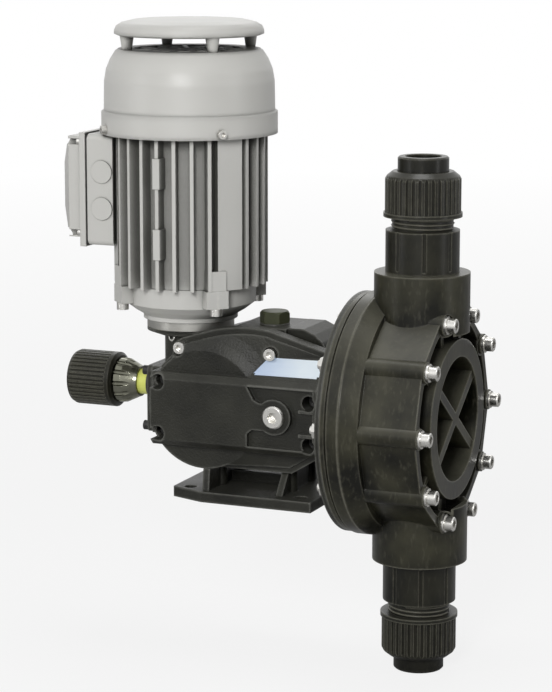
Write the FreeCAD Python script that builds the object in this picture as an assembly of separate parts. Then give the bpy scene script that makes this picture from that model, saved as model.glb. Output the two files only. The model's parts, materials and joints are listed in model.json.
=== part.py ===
import FreeCAD, Part
import math
import os

# Diaphragm metering pump: vertical motor, worm gearbox, plunger and flanged head.
# Millimetres. The origin is the centre of the foot's underside, +X runs from the
# stroke knob to the head, +Z is up, and -Y is the side with the removable cover.

V = FreeCAD.Vector

# Main axes
HEAD_AXIS_Z = 65.0          # plunger, cam shaft and head axis above the mounting surface
MOTOR_X = -57.0             # vertical motor and worm axis
VALVE_X = 117.5             # vertical axis of both check valves
KNOB_AXIS_Z = 73.0          # stroke adjuster above the mounting surface

# Clearances
RUNNING_GAP = 0.05          # radial gap of a shaft in its bearing
SEAT_GAP = 0.30             # gap left between moving pieces that bear on each other
SCREW_GAP = 0.30            # radial gap round a fastener

# Foot
FOOT_LENGTH = 108.0
FOOT_WIDTH = 92.0
FOOT_PLATE = 7.5
FOOT_LEG_SPREAD = 54.0      # between the two legs' middles
FOOT_LEG_WALL = 5.0
FOOT_TOP_Z = 23.0           # where the gearbox belly rests on the legs
FOOT_HOLE_SPACING_X = 84.0
FOOT_HOLE_SPACING_Y = 68.0
FOOT_HOLE_RADIUS = 4.5
FOOT_SCREW_SPREAD_Y = 34.0
FOOT_SCREW_RADIUS = 2.5
FOOT_WEB_HEIGHT = 7.0

# Gear train
WORM_MODULE = 1.25
WORM_STARTS = 2
WORM_PITCH_RADIUS = 8.75
WORM_LENGTH = 34.0
WHEEL_TEETH = 30
WHEEL_WIDTH = 10.0
BACKLASH = 0.14             # share of the pitch left free between flanks

# Cam shaft
CAM_THROW = 2.0             # half of the stroke
CAM_RADIUS = 13.0
CAM_WIDTH = 7.0
CAM_MIDDLE_Y = 12.0
CAM_SHAFT_RADIUS = 6.0
SHAFT_BEARING_RADIUS = 13.0
SHAFT_BEARING_WIDTH = 8.0

# Gearbox housing
SEAM_Y = -26.0              # joint face of the side cover
BACK_Y = 30.0
HOUSING_WALL = 6.0
BELLY_RADIUS = 42.0
HOUSING_TOP_Z = 122.0
REAR_X = -76.0              # machined rear face
FRONT_WALL_X = 50.0
NECK_RADIUS = 18.5
LANTERN_RADIUS = 31.0
LANTERN_TOP_Z = 116.7
HEAD_NECK_RADIUS = 36.0
HEAD_FLANGE_X = 72.0
HEAD_FLANGE_THICK = 3.5
HEAD_FLANGE_STEP = 1.0      # the flange is this much smaller in radius than the head's rings

# Side cover
COVER_GASKET = 0.5
COVER_FLANGE = 5.0          # from the housing's joint face to the cover flange's front
DISC_Y = -40.0
BOX_Y = -50.0
BOX_BEVEL = 4.5
BOX_LEFT_X = -66.0
BOX_RIGHT_X = 60.0
BOX_HALF_HEIGHT = 26.0
PLUG_X = 28.0
PLUG_Z = 66.0
PLUG_BOSS_RADIUS = 12.5
PLUG_RADIUS = 8.0
COVER_SCREW_RADIUS = 2.5

# Plunger
YOKE_WALL = 4.0
YOKE_BAR = 6.0
YOKE_HALF_WIDTH = 21.0
YOKE_HALF_HEIGHT = 13.0
ROD_RADIUS = 7.0
SPRING_RADIUS = 13.0
SPRING_WIRE = 3.0
SPRING_TURNS = 5.0

# Stroke adjuster
KNOB_RADIUS = 19.8
KNOB_LENGTH = 36.0
KNOB_RIBS = 38
SPINDLE_RADIUS = 5.0
REAR_COVER_THICK = 4.0
COVER_BOSS_LENGTH = 8.0
INDEX_RING_LENGTH = 8.0
INDEX_RING_RADIUS = 9.2
CONE_LENGTH = 16.5
CONE_BIG_RADIUS = 16.3
CONE_FLUTES = 12

# Head
HEAD_BOLT_COUNT = 10
HEAD_BOLT_CIRCLE = 144.3
HEAD_BOLT_RADIUS = 3.0
HEAD_BOLT_HEAD_RADIUS = 5.0
HEAD_BOLT_HEAD_LENGTH = 6.0
WASHER_RADIUS = 6.2
WASHER_THICK = 1.6
NUT_THICK = 5.0
HEAD_RING_RADIUS = 85.0
BACKING_LENGTH = 13.0
HEAD_RING_LENGTH = 12.5
HEAD_DRUM_LENGTH = 42.0
DRUM_VERTEX_RADIUS = 77.5
COLUMN_RADIUS = 7.2
DIAPHRAGM_RADIUS = 62.0
DIAPHRAGM_THICK = 3.0
CHAMBER_RADIUS = 54.0
DISC_RADIUS = 30.0
FRONT_RING_OUTER = 55.5
FRONT_RING_INNER = 43.0
SPOKE_WIDTH = 6.5
SPOKE_ANGLE = 36.0
POCKET_DEPTH = 24.0

# Valves, measured outwards from the head axis
PORT_RADIUS = 33.0
PORT_REACH = 101.0
CARTRIDGE_RADIUS = 25.4
CARTRIDGE_LENGTH = 29.0
CARTRIDGE_FLUTES = 8
SPIGOT_RADIUS = 19.5
SPIGOT_LENGTH = 12.0
THREAD_RADIUS = 20.95
THREAD_LENGTH = 22.0
BALL_RADIUS = 10.0
BALL_LIFT = 4.0
VALVE_BORE_RADIUS = 12.5
SEAT_HOLE_RADIUS = 8.5
SEAT_LENGTH = 6.0
NUT_GAP = 9.0               # bare thread between the cartridge and the nut
NUT_LENGTH = 31.0
NUT_RADIUS = 26.0
NUT_RIBS = 36
SOCKET_LENGTH = 28.0        # from the union's joint face to the socket's mouth
SOCKET_RADIUS = 17.5
SOCKET_BORE_RADIUS = 12.5
SOCKET_DEPTH = 19.0
SOCKET_FLANGE = 4.3
SEAL_INNER = 14.0
SEAL_OUTER = 17.5
SEAL_THICK = 2.0

# Motor
MOTOR_FOOT_Z = 123.4        # top of the adapter collar
SHIELD_BOTTOM_Z = 127.4
FRAME_BOTTOM_Z = 148.8
FRAME_TOP_Z = 254.4
FRAME_RADIUS = 55.0
FRAME_ROOT_RADIUS = 46.0
STATOR_RADIUS = 40.0
ROTOR_RADIUS = 27.5
FIN_THICK = 2.6
FIN_PITCH = 13.0
MOTOR_SHAFT_RADIUS = 7.0
WORM_SHAFT_RADIUS = 5.0
MOTOR_BEARING_RADIUS = 17.5
MOTOR_BEARING_WIDTH = 11.0
SHIELD_RADIUS = 46.5
LUG_CIRCLE = 98.0
COWL_SKIRT_RADIUS = 62.0
COWL_SKIRT_HEIGHT = 15.1
COWL_TOP_Z = 313.2
COWL_TOP_RADIUS = 50.0
COWL_WALL = 1.6
COWL_GRILLE_RADIUS = 38.0
CANOPY_RADIUS = 52.5
CANOPY_GAP = 9.5
CANOPY_HEIGHT = 11.7
POST_RADIUS = 4.0
POST_CIRCLE = 92.0
FAN_RADIUS = 50.0

# Terminal box on the -X side of the motor
BOX_CENTRE_Z = 215.0
BOX_HALF_Z = 39.2
BOX_HALF_Y = 38.0
BOX_LID_X = -119.0
SEAT_PAD_X = -106.0
GASKET_THICK = 1.0
LID_FLANGE = 4.5
LID_DEPTH = 27.0
KNOCKOUT_RADIUS = 8.0
KNOCKOUT_SPACING = 26.0

# Worked out from the sizes above
AXIAL_PITCH = math.pi * WORM_MODULE
WORM_LEAD = AXIAL_PITCH * WORM_STARTS
WHEEL_PITCH_RADIUS = WORM_MODULE * WHEEL_TEETH / 2
WHEEL_X = MOTOR_X + WORM_PITCH_RADIUS + WHEEL_PITCH_RADIUS
TIP = WORM_MODULE * 0.9
STROKE = 2 * CAM_THROW
YOKE_FRONT_X = WHEEL_X + WHEEL_PITCH_RADIUS + TIP + 2 * SEAT_GAP
YOKE_REAR_X = MOTOR_X - WORM_PITCH_RADIUS - TIP - STROKE - 2 * SEAT_GAP
PLATE_X = HEAD_FLANGE_X + HEAD_FLANGE_THICK
CLAMP_X = PLATE_X + BACKING_LENGTH
DRUM_X = CLAMP_X + HEAD_RING_LENGTH
FACE_X = DRUM_X + HEAD_DRUM_LENGTH
HEAD_FLANGE_RADIUS = HEAD_RING_RADIUS - HEAD_FLANGE_STEP
UNION_REACH = PORT_REACH + CARTRIDGE_LENGTH + THREAD_LENGTH
NUT_START = PORT_REACH + CARTRIDGE_LENGTH + NUT_GAP
NUT_END = NUT_START + NUT_LENGTH
SOCKET_REACH = UNION_REACH + SOCKET_LENGTH
BOSS_X = REAR_X - REAR_COVER_THICK - COVER_BOSS_LENGTH
RING_X = BOSS_X - INDEX_RING_LENGTH
CONE_X = RING_X - CONE_LENGTH
KNOB_X = CONE_X - SEAT_GAP
CANOPY_Z = COWL_TOP_Z + CANOPY_GAP
HEAD_CENTRE = V(0, 0, HEAD_AXIS_Z)
KNOB_CENTRE = V(0, 0, KNOB_AXIS_Z)
MOTOR_CENTRE = V(MOTOR_X, 0, 0)
WHEEL_CENTRE = V(WHEEL_X, 0, HEAD_AXIS_Z)
AXES = {"x": V(1, 0, 0), "y": V(0, 1, 0), "z": V(0, 0, 1)}


# Small shape helpers

def block(x0, x1, y0, y1, z0, z1):
    return Part.makeBox(x1 - x0, y1 - y0, z1 - z0, V(x0, y0, z0))


def rod(radius, start, end):
    along = end.sub(start)
    return Part.makeCylinder(radius, along.Length, start, along)


def tube(outer, inner, start, end):
    return rod(outer, start, end).cut(rod(inner, start, end))


def spot(plane, u, v, w):
    return {"xy": V(u, v, w), "xz": V(u, w, v), "yz": V(w, u, v)}[plane]


def prism(plane, points, start, end):
    """A flat outline in the named plane, drawn at start and carried to end."""
    corners = [spot(plane, u, v, start) for u, v in points]
    face = Part.Face(Part.makePolygon(corners + corners[:1]))
    return face.extrude(spot(plane, 0, 0, end - start))


def lathe(axis, centre, points):
    """A closed profile of (radius, place along the axis) points, turned once round."""
    side = V(0, 0, 1) if axis == "x" else V(1, 0, 0)
    corners = [centre + side * r + AXES[axis] * h for r, h in points]
    face = Part.Face(Part.makePolygon(corners + corners[:1]))
    return face.revolve(centre, AXES[axis], 360)


def turned(shape, centre, axis, angle):
    copy = shape.copy()
    copy.rotate(centre, AXES[axis], angle)
    return copy


def around(shape, count, centre, axis, first=0.0):
    return [turned(shape, centre, axis, first + 360.0 * i / count) for i in range(count)]


def fuse(first, *others):
    return first.multiFuse(list(others)).removeSplitter()


def ribbed_outline(count, outer, inner, share=0.5):
    """Points of a ribbed circle, with each rib taking a share of its pitch."""
    points = []
    step = 2 * math.pi / count
    for i in range(count):
        for radius, turn in ((outer, -0.5 * share), (outer, 0.5 * share), (inner, 0.5 * share + 0.1),
                             (inner, 0.9 - 0.5 * share)):
            angle = step * (i + turn)
            points.append((radius * math.cos(angle), radius * math.sin(angle)))
    return points


def cap_screw(radius, length, seat, inward):
    """A socket cap screw whose head sits on the seat and whose shank runs inward."""
    head_radius = radius * 1.7
    head_length = radius * 2
    inward = V(inward).normalize()
    head = rod(head_radius, seat - inward * head_length, seat)
    socket = rod(radius * 0.9, seat - inward * head_length, seat - inward * (head_length * 0.4))
    shank = rod(radius, seat, seat + inward * length)
    return head.cut(socket).fuse(shank)


# Foot

def foot_screw_spots():
    for x in (-FOOT_LEG_SPREAD / 2, FOOT_LEG_SPREAD / 2):
        for y in (-FOOT_SCREW_SPREAD_Y / 2, FOOT_SCREW_SPREAD_Y / 2):
            yield x, y


def make_foot():
    half_x = FOOT_LENGTH / 2
    half_y = FOOT_WIDTH / 2
    nip_x = 25.0
    nip_y = 9.0
    outline = [(-half_x, -half_y + nip_y), (-half_x + nip_x, -half_y), (half_x, -half_y),
               (half_x, half_y), (-half_x + nip_x, half_y), (-half_x, half_y - nip_y)]
    plate = prism("xy", outline, 0, FOOT_PLATE)
    leg_x = FOOT_LEG_SPREAD / 2
    wall = FOOT_LEG_WALL / 2
    left_profile = [(-42, FOOT_PLATE), (BACK_Y + 4, FOOT_PLATE), (BACK_Y - 2, FOOT_TOP_Z), (-40, FOOT_TOP_Z)]
    right_profile = [(-38, FOOT_PLATE), (BACK_Y + 4, FOOT_PLATE), (BACK_Y - 4, FOOT_TOP_Z), (-25.5, FOOT_TOP_Z)]
    left_leg = prism("yz", left_profile, -leg_x - wall, -leg_x + wall)
    right_leg = prism("yz", right_profile, leg_x - wall, leg_x + wall)
    web_top = FOOT_PLATE + FOOT_WEB_HEIGHT
    web = block(-leg_x, leg_x, -2, 2, FOOT_PLATE, web_top)
    bosses = [rod(FOOT_SCREW_RADIUS + 3, V(x, y, FOOT_PLATE), V(x, y, FOOT_TOP_Z)) for x, y in foot_screw_spots()]
    foot = fuse(plate, left_leg, right_leg, web, *bosses)
    holes = []
    for x in (-FOOT_HOLE_SPACING_X / 2, FOOT_HOLE_SPACING_X / 2):
        for y in (-FOOT_HOLE_SPACING_Y / 2, FOOT_HOLE_SPACING_Y / 2):
            holes.append(rod(FOOT_HOLE_RADIUS, V(x, y, -1), V(x, y, FOOT_PLATE + 1)))
    for x, y in foot_screw_spots():
        holes.append(rod(FOOT_SCREW_RADIUS + SCREW_GAP, V(x, y, -1), V(x, y, FOOT_TOP_Z + 1)))
        holes.append(rod(FOOT_SCREW_RADIUS * 1.7 + SCREW_GAP, V(x, y, -1), V(x, y, FOOT_SCREW_RADIUS * 2 + 0.5)))
    return foot.cut(holes)


def make_foot_screws():
    seat = FOOT_SCREW_RADIUS * 2 + 0.5
    return [cap_screw(FOOT_SCREW_RADIUS, FOOT_TOP_Z - seat + 5, V(x, y, seat), V(0, 0, 1))
            for x, y in foot_screw_spots()]


# Gearbox housing and its covers

def belly_point(angle):
    turn = math.radians(angle)
    return V(WHEEL_X + BELLY_RADIUS * math.cos(turn), 0, HEAD_AXIS_Z + BELLY_RADIUS * math.sin(turn))


def casting_wire(y):
    """The arched outline shared by the side cover and the housing's joint flange."""
    lift = V(0, y, 0)
    top = HOUSING_TOP_Z
    start = belly_point(210) + lift
    left_low = V(-57, y, top - 21)
    left_high = V(-55.5, y, top - 13)
    shoulder = V(-50, y, top - 9)
    arch_left = V(-25, y, top - 1.5)
    arch_top = V(-5, y, top + 1.5)
    arch_right = V(16, y, top + 0.5)
    right_top = V(BOX_RIGHT_X, y, top - 12)
    right_low = V(BOX_RIGHT_X, y, HEAD_AXIS_Z - BOX_HALF_HEIGHT)
    right_foot = V(34, y, FOOT_TOP_Z)
    bottom = belly_point(270) + lift
    edges = [Part.makeLine(start, V(start.x, y, top - 30)), Part.makeLine(V(start.x, y, top - 30), left_low),
             Part.makeLine(left_low, left_high), Part.makeLine(left_high, shoulder),
             Part.makeLine(shoulder, arch_left), Part.Arc(arch_left, arch_top, arch_right).toShape(),
             Part.makeLine(arch_right, right_top), Part.makeLine(right_top, right_low),
             Part.makeLine(right_low, right_foot), Part.makeLine(right_foot, bottom),
             Part.Arc(bottom, belly_point(240) + lift, start).toShape()]
    return Part.Wire(edges)


def casting(y_from, y_to, inset=0.0):
    wire = casting_wire(y_from)
    if inset:
        wire = wire.makeOffset2D(-inset, 2)
    return Part.Face(wire).extrude(V(0, y_to - y_from, 0))


def rear_screw_spots():
    for y in (-21, 23):
        for z in (HEAD_AXIS_Z - 19, HEAD_AXIS_Z + 21):
            yield y, z


def cover_screw_spots():
    upper_z = HEAD_AXIS_Z + 41.5
    lower_z = HEAD_AXIS_Z - 17.5
    return [(-50, upper_z), (18.8, upper_z), (-60.5, lower_z), (-60.5, HEAD_AXIS_Z + 19),
            (53, lower_z), (53, HEAD_AXIS_Z + 12)]


def make_housing():
    flange = casting(SEAM_Y, SEAM_Y + 5)
    body = casting(SEAM_Y + 5, BACK_Y, 3)
    rear = block(REAR_X, -58, -25, BACK_Y - 2, HEAD_AXIS_Z - 23, HEAD_AXIS_Z + 25)
    land = block(-14, 24, -18, BACK_Y - 2, 100, HOUSING_TOP_Z)
    bulge_outline = [(20, 98), (56, 98), (54, 107), (50, 114), (44, 119), (36, HOUSING_TOP_Z + 0.5),
                     (24, HOUSING_TOP_Z + 0.5)]
    bulge = prism("xz", bulge_outline, -15, BACK_Y - 4)
    neck = lathe("z", MOTOR_CENTRE, [(0, 84), (NECK_RADIUS, 84), (NECK_RADIUS, LANTERN_TOP_Z - 5.5), (NECK_RADIUS + 4, LANTERN_TOP_Z - 5.2),
                                     (LANTERN_RADIUS, LANTERN_TOP_Z - 2), (LANTERN_RADIUS, LANTERN_TOP_Z),
                                     (0, LANTERN_TOP_Z)])
    head_neck = lathe("x", HEAD_CENTRE, [(0, 54), (HEAD_NECK_RADIUS + 3, 54), (HEAD_NECK_RADIUS, 62),
                                         (HEAD_NECK_RADIUS + 2, HEAD_FLANGE_X), (HEAD_FLANGE_RADIUS, HEAD_FLANGE_X),
                                         (HEAD_FLANGE_RADIUS, PLATE_X), (0, PLATE_X)])
    gusset_outline = [(HEAD_NECK_RADIUS - 3, 58), (HEAD_NECK_RADIUS + 3, 60), (62, HEAD_FLANGE_X - 3),
                      (62, HEAD_FLANGE_X + 1), (HEAD_NECK_RADIUS - 3, HEAD_FLANGE_X + 1)]
    gusset = prism("xz", [(h, HEAD_AXIS_Z + r) for r, h in gusset_outline], -2, 2)
    gussets = around(gusset, 4, HEAD_CENTRE, "x", 45)
    filler_seat = rod(10.5, V(8, 0, HOUSING_TOP_Z - 5), V(8, 0, HOUSING_TOP_Z + 1.2))
    shaft_boss = rod(SHAFT_BEARING_RADIUS + 5, V(WHEEL_X, BACK_Y - 2, HEAD_AXIS_Z), V(WHEEL_X, BACK_Y + 6, HEAD_AXIS_Z))
    housing = body.multiFuse([flange, rear, land, bulge, neck, head_neck, shaft_boss, filler_seat] + gussets)
    cavity_outline = [(-54, 36), (34, 36), (FRONT_WALL_X, 46), (FRONT_WALL_X, 98), (14, 112), (-24, 110), (-46, 102),
                      (-54, 96)]
    cavity = prism("xz", cavity_outline, SEAM_Y - 1, BACK_Y - HOUSING_WALL)
    yoke_room = STROKE / 2
    rear_mouth = block(REAR_X - 1, -50, -YOKE_HALF_WIDTH - 1, YOKE_HALF_WIDTH + 1,
                       HEAD_AXIS_Z - YOKE_HALF_HEIGHT - yoke_room, HEAD_AXIS_Z + YOKE_HALF_HEIGHT + 2 + yoke_room)
    worm_room = rod(WORM_PITCH_RADIUS + TIP + 2, V(MOTOR_X, 0, 38), V(MOTOR_X, 0, 96))
    worm_socket = rod(WORM_SHAFT_RADIUS + RUNNING_GAP, V(MOTOR_X, 0, 32), V(MOTOR_X, 0, 39))
    shaft_room = rod(MOTOR_SHAFT_RADIUS + 2, V(MOTOR_X, 0, 95), V(MOTOR_X, 0, LANTERN_TOP_Z + 1))
    bearing_room = rod(SHAFT_BEARING_RADIUS, V(WHEEL_X, BACK_Y - HOUSING_WALL - 1, HEAD_AXIS_Z),
                       V(WHEEL_X, BACK_Y + 3, HEAD_AXIS_Z))
    bush_room = rod(ROD_RADIUS + 4, V(FRONT_WALL_X - 1, 0, HEAD_AXIS_Z), V(FRONT_WALL_X + 14, 0, HEAD_AXIS_Z))
    seal_room = rod(ROD_RADIUS + 7, V(FRONT_WALL_X + 14, 0, HEAD_AXIS_Z), V(PLATE_X + 1, 0, HEAD_AXIS_Z))
    oil_hole = rod(5, V(8, 0, 100), V(8, 0, HOUSING_TOP_Z + 2))
    cover_space = block(REAR_X, BOX_RIGHT_X + SEAT_GAP, BOX_Y - 10, SEAM_Y, 0, 200)
    collar_space = rod(LANTERN_RADIUS + SEAT_GAP, V(MOTOR_X, 0, LANTERN_TOP_Z), V(MOTOR_X, 0, MOTOR_FOOT_Z))
    cuts = [cavity, rear_mouth, worm_room, worm_socket, shaft_room, bearing_room, bush_room, seal_room, oil_hole,
            cover_space, collar_space]
    for x, z in cover_screw_spots():
        cuts.append(rod(COVER_SCREW_RADIUS, V(x, SEAM_Y - 1, z), V(x, SEAM_Y + 9, z)))
    for y, z in rear_screw_spots():
        cuts.append(rod(2.0, V(REAR_X - 1, y, z), V(REAR_X + 8, y, z)))
    for x, y in foot_screw_spots():
        cuts.append(rod(FOOT_SCREW_RADIUS, V(x, y, FOOT_TOP_Z - 1), V(x, y, FOOT_TOP_Z + 6)))
    for spot_on_flange in head_bolt_spots():
        cuts.append(rod(HEAD_BOLT_RADIUS + SCREW_GAP, spot_on_flange + V(HEAD_FLANGE_X - 1, 0, 0),
                        spot_on_flange + V(PLATE_X + 1, 0, 0)))
    return housing.cut(cuts)


def make_side_cover():
    inner_y = SEAM_Y - COVER_GASKET
    plate_y = SEAM_Y - COVER_FLANGE
    plate = casting(inner_y, plate_y)
    bell_points = [(0, plate_y + 1), (96, plate_y + 1), (96, plate_y), (82, plate_y - 0.6), (68, plate_y - 1.8),
                   (57, plate_y - 3.6), (49, plate_y - 6), (44, DISC_Y + 0.8), (BELLY_RADIUS, DISC_Y), (0, DISC_Y)]
    bell = lathe("y", V(WHEEL_X, 0, HEAD_AXIS_Z), bell_points)
    bell = bell.common(casting(plate_y + 1, BOX_Y, 4))
    disc = rod(BELLY_RADIUS, V(WHEEL_X, plate_y + 1, HEAD_AXIS_Z), V(WHEEL_X, DISC_Y, HEAD_AXIS_Z))
    low = HEAD_AXIS_Z - BOX_HALF_HEIGHT
    high = HEAD_AXIS_Z + BOX_HALF_HEIGHT
    box_profile = [(plate_y + 1, low), (BOX_Y + BOX_BEVEL, low), (BOX_Y, low + BOX_BEVEL), (BOX_Y, high - BOX_BEVEL),
                   (BOX_Y + BOX_BEVEL, high), (plate_y + 1, high)]
    box = prism("yz", box_profile, BOX_LEFT_X, BOX_RIGHT_X)
    slope_profile = [(plate_y + 1, high - 1), (BOX_Y + BOX_BEVEL + 0.5, high - 1), (BOX_Y + BOX_BEVEL + 0.5, high),
                     (plate_y, high + 15), (plate_y + 1, high + 15)]
    slope = prism("yz", slope_profile, 4, BOX_RIGHT_X)
    slope_end = prism("xz", [(0, high), (6, high), (19, high + 16), (0, high + 16)], BOX_Y - 1, plate_y - 0.01)
    slope = slope.cut(slope_end)
    pocket_top = HEAD_AXIS_Z + BOX_HALF_HEIGHT - BOX_BEVEL - 0.5
    pocket_low = HEAD_AXIS_Z - BOX_HALF_HEIGHT + BOX_BEVEL + 0.5
    band_top = PLUG_Z + 9
    band_low = PLUG_Z - 10
    floor_y = BOX_Y + 3.5
    upper = prism("xz", [(8, pocket_top), (13, band_top + 2), (17, band_top), (BOX_RIGHT_X - 3, band_top),
                         (BOX_RIGHT_X - 3, pocket_top)], BOX_Y - 1, floor_y)
    lower = prism("xz", [(8, pocket_low), (8, band_low - 3), (12, band_low), (BOX_RIGHT_X - 3, band_low),
                         (BOX_RIGHT_X - 3, pocket_low)], BOX_Y - 1, floor_y)
    right = block(PLUG_X, BOX_RIGHT_X - 3, BOX_Y - 1, floor_y, pocket_low, pocket_top)
    boss = rod(PLUG_BOSS_RADIUS, V(PLUG_X, plate_y, PLUG_Z), V(PLUG_X, BOX_Y, PLUG_Z))
    ribs = [block(46, BOX_RIGHT_X - 2, BOX_Y + 1, floor_y + 1, z, z + 2.4) for z in (PLUG_Z + 4, PLUG_Z - 13)]
    low_notch = block(BOX_LEFT_X - 1, BOX_LEFT_X + 8.5, BOX_Y - 1, plate_y - 4, low + 4, low + 12)
    high_notch = block(BOX_LEFT_X - 1, BOX_LEFT_X + 8.5, BOX_Y - 1, plate_y - 4, high - 11, high - 4)
    box = box.cut([upper, lower, right, low_notch, high_notch])
    cover = plate.multiFuse([bell, disc, box, slope, boss] + ribs)
    bearing_y = DISC_Y + 3
    inside = block(BOX_LEFT_X + 12, FRONT_WALL_X - 4, floor_y + 5, inner_y + 1, low + 8, high - 8)
    bearing_boss = rod(SHAFT_BEARING_RADIUS + 6, V(WHEEL_X, BOX_Y, HEAD_AXIS_Z), V(WHEEL_X, inner_y + 1, HEAD_AXIS_Z))
    plug_wall = rod(PLUG_BOSS_RADIUS + 1, V(PLUG_X, BOX_Y, PLUG_Z), V(PLUG_X, inner_y + 1, PLUG_Z))
    inside = inside.cut([bearing_boss, plug_wall])
    bearing_room = rod(SHAFT_BEARING_RADIUS, V(WHEEL_X, bearing_y, HEAD_AXIS_Z), V(WHEEL_X, inner_y + 1, HEAD_AXIS_Z))
    plug_hole = rod(PLUG_RADIUS * 0.8, V(PLUG_X, BOX_Y - 1, PLUG_Z), V(PLUG_X, inner_y + 1, PLUG_Z))
    cuts = [inside, bearing_room, plug_hole]
    for x, z in cover_screw_spots():
        cuts.append(rod(COVER_SCREW_RADIUS + SCREW_GAP, V(x, BOX_Y, z), V(x, inner_y + 1, z)))
        cuts.append(rod(COVER_SCREW_RADIUS * 1.7 + 1, V(x, BOX_Y - 1, z), V(x, plate_y, z)))
    return cover.cut(cuts)


def make_cover_gasket():
    sheet = casting(SEAM_Y, SEAM_Y - COVER_GASKET, 0.4)
    room = block(BOX_LEFT_X + 12, FRONT_WALL_X - 2, SEAM_Y - 1, SEAM_Y, HEAD_AXIS_Z - 26, HEAD_AXIS_Z + 40)
    screws = [rod(COVER_SCREW_RADIUS + SCREW_GAP, V(x, SEAM_Y - 1, z), V(x, SEAM_Y, z)) for x, z in cover_screw_spots()]
    return sheet.cut([room] + screws)


def make_cover_screws():
    plate_y = SEAM_Y - COVER_FLANGE
    return [cap_screw(COVER_SCREW_RADIUS, COVER_FLANGE + 8, V(x, plate_y, z), V(0, 1, 0))
            for x, z in cover_screw_spots()]


def make_level_plug():
    face = BOX_Y - 2.0
    stem = rod(PLUG_RADIUS * 0.8 - 0.05, V(PLUG_X, BOX_Y, PLUG_Z), V(PLUG_X, BOX_Y + 14, PLUG_Z))
    head = lathe("y", V(PLUG_X, 0, PLUG_Z), [(0, face), (PLUG_RADIUS - 1, face), (PLUG_RADIUS, face + 1),
                                            (PLUG_RADIUS, BOX_Y), (0, BOX_Y)])
    socket = prism("xz", [(PLUG_X + 4 * math.cos(math.radians(60 * i)), PLUG_Z + 4 * math.sin(math.radians(60 * i)))
                          for i in range(6)], face - 1, face + 5)
    return head.fuse(stem).cut(socket)


def make_filler_plug():
    z = HOUSING_TOP_Z
    centre = V(8, 0, 0)
    hexagon = [(8 + 10.8 * math.cos(math.radians(60 * i + 10)), 10.8 * math.sin(math.radians(60 * i + 10)))
               for i in range(6)]
    cap = prism("xy", hexagon, z + 1.2, z + 9.5)
    trim = lathe("z", centre, [(0, z + 1.2), (10.4, z + 1.2), (10.8, z + 2.2), (10.8, z + 7.8), (9.3, z + 9.5),
                               (0, z + 9.5)])
    stem = rod(4.95, V(8, 0, z - 8), V(8, 0, z + 1.2))
    return cap.common(trim).fuse(stem)


def make_rear_cover():
    plate = block(REAR_X - REAR_COVER_THICK, REAR_X, -25, BACK_Y - 2, HEAD_AXIS_Z - 23, HEAD_AXIS_Z + 25)
    edges = [edge for edge in plate.Edges if abs(edge.tangentAt(edge.FirstParameter).x) > 0.9]
    plate = plate.makeFillet(4, edges)
    boss = rod(INDEX_RING_RADIUS + 2, V(BOSS_X, 0, KNOB_AXIS_Z), V(REAR_X - 1, 0, KNOB_AXIS_Z))
    bore = rod(SPINDLE_RADIUS + RUNNING_GAP, V(BOSS_X - 1, 0, KNOB_AXIS_Z), V(REAR_X + 1, 0, KNOB_AXIS_Z))
    holes = [rod(2.0 + SCREW_GAP, V(REAR_X - 9, y, z), V(REAR_X + 1, y, z)) for y, z in rear_screw_spots()]
    return plate.fuse(boss).cut([bore] + holes)


def make_rear_screws():
    return [cap_screw(2.0, REAR_COVER_THICK + 7, V(REAR_X - REAR_COVER_THICK, y, z), V(1, 0, 0))
            for y, z in rear_screw_spots()]


# Stroke adjuster

def make_index_ring():
    return tube(INDEX_RING_RADIUS, SPINDLE_RADIUS + RUNNING_GAP, V(RING_X, 0, KNOB_AXIS_Z), V(BOSS_X, 0, KNOB_AXIS_Z))


def make_cone_sleeve():
    cone = lathe("x", KNOB_CENTRE, [(SPINDLE_RADIUS + RUNNING_GAP, CONE_X), (CONE_BIG_RADIUS - 1, CONE_X),
                                    (CONE_BIG_RADIUS, CONE_X + 1), (CONE_BIG_RADIUS - 0.5, CONE_X + 6),
                                    (INDEX_RING_RADIUS + 2.5, RING_X - 2), (INDEX_RING_RADIUS + 1.7, RING_X),
                                    (SPINDLE_RADIUS + RUNNING_GAP, RING_X)])
    flute = rod(1.8, V(CONE_X - 2, 0, KNOB_AXIS_Z + CONE_BIG_RADIUS + 0.6), V(RING_X, 0, KNOB_AXIS_Z + CONE_BIG_RADIUS - 2.4))
    return cone.cut(around(flute, CONE_FLUTES, KNOB_CENTRE, "x"))


def make_knob():
    back = KNOB_X - KNOB_LENGTH
    grip_end = KNOB_X - 4.8
    outline = [(u, v + KNOB_AXIS_Z) for u, v in ribbed_outline(KNOB_RIBS, KNOB_RADIUS, KNOB_RADIUS - 0.9)]
    grip = prism("yz", outline, back, grip_end)
    crown = lathe("x", KNOB_CENTRE, [(0, back), (KNOB_RADIUS - 3.5, back), (KNOB_RADIUS - 1.2, back + 1.2),
                                     (KNOB_RADIUS + 0.1, back + 4), (KNOB_RADIUS + 0.1, grip_end), (0, grip_end)])
    collar = lathe("x", KNOB_CENTRE, [(0, grip_end), (KNOB_RADIUS, grip_end), (KNOB_RADIUS, KNOB_X - 1.8),
                                      (KNOB_RADIUS - 2.2, KNOB_X), (0, KNOB_X)])
    bore = rod(SPINDLE_RADIUS + RUNNING_GAP, V(back + 6, 0, KNOB_AXIS_Z), V(KNOB_X + 1, 0, KNOB_AXIS_Z))
    return grip.common(crown).fuse(collar).cut(bore)


def make_spindle():
    return rod(SPINDLE_RADIUS, V(KNOB_X - KNOB_LENGTH + 6.3, 0, KNOB_AXIS_Z),
               V(YOKE_REAR_X - YOKE_WALL - SEAT_GAP, 0, KNOB_AXIS_Z))


# Worm, wheel and cams

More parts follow.
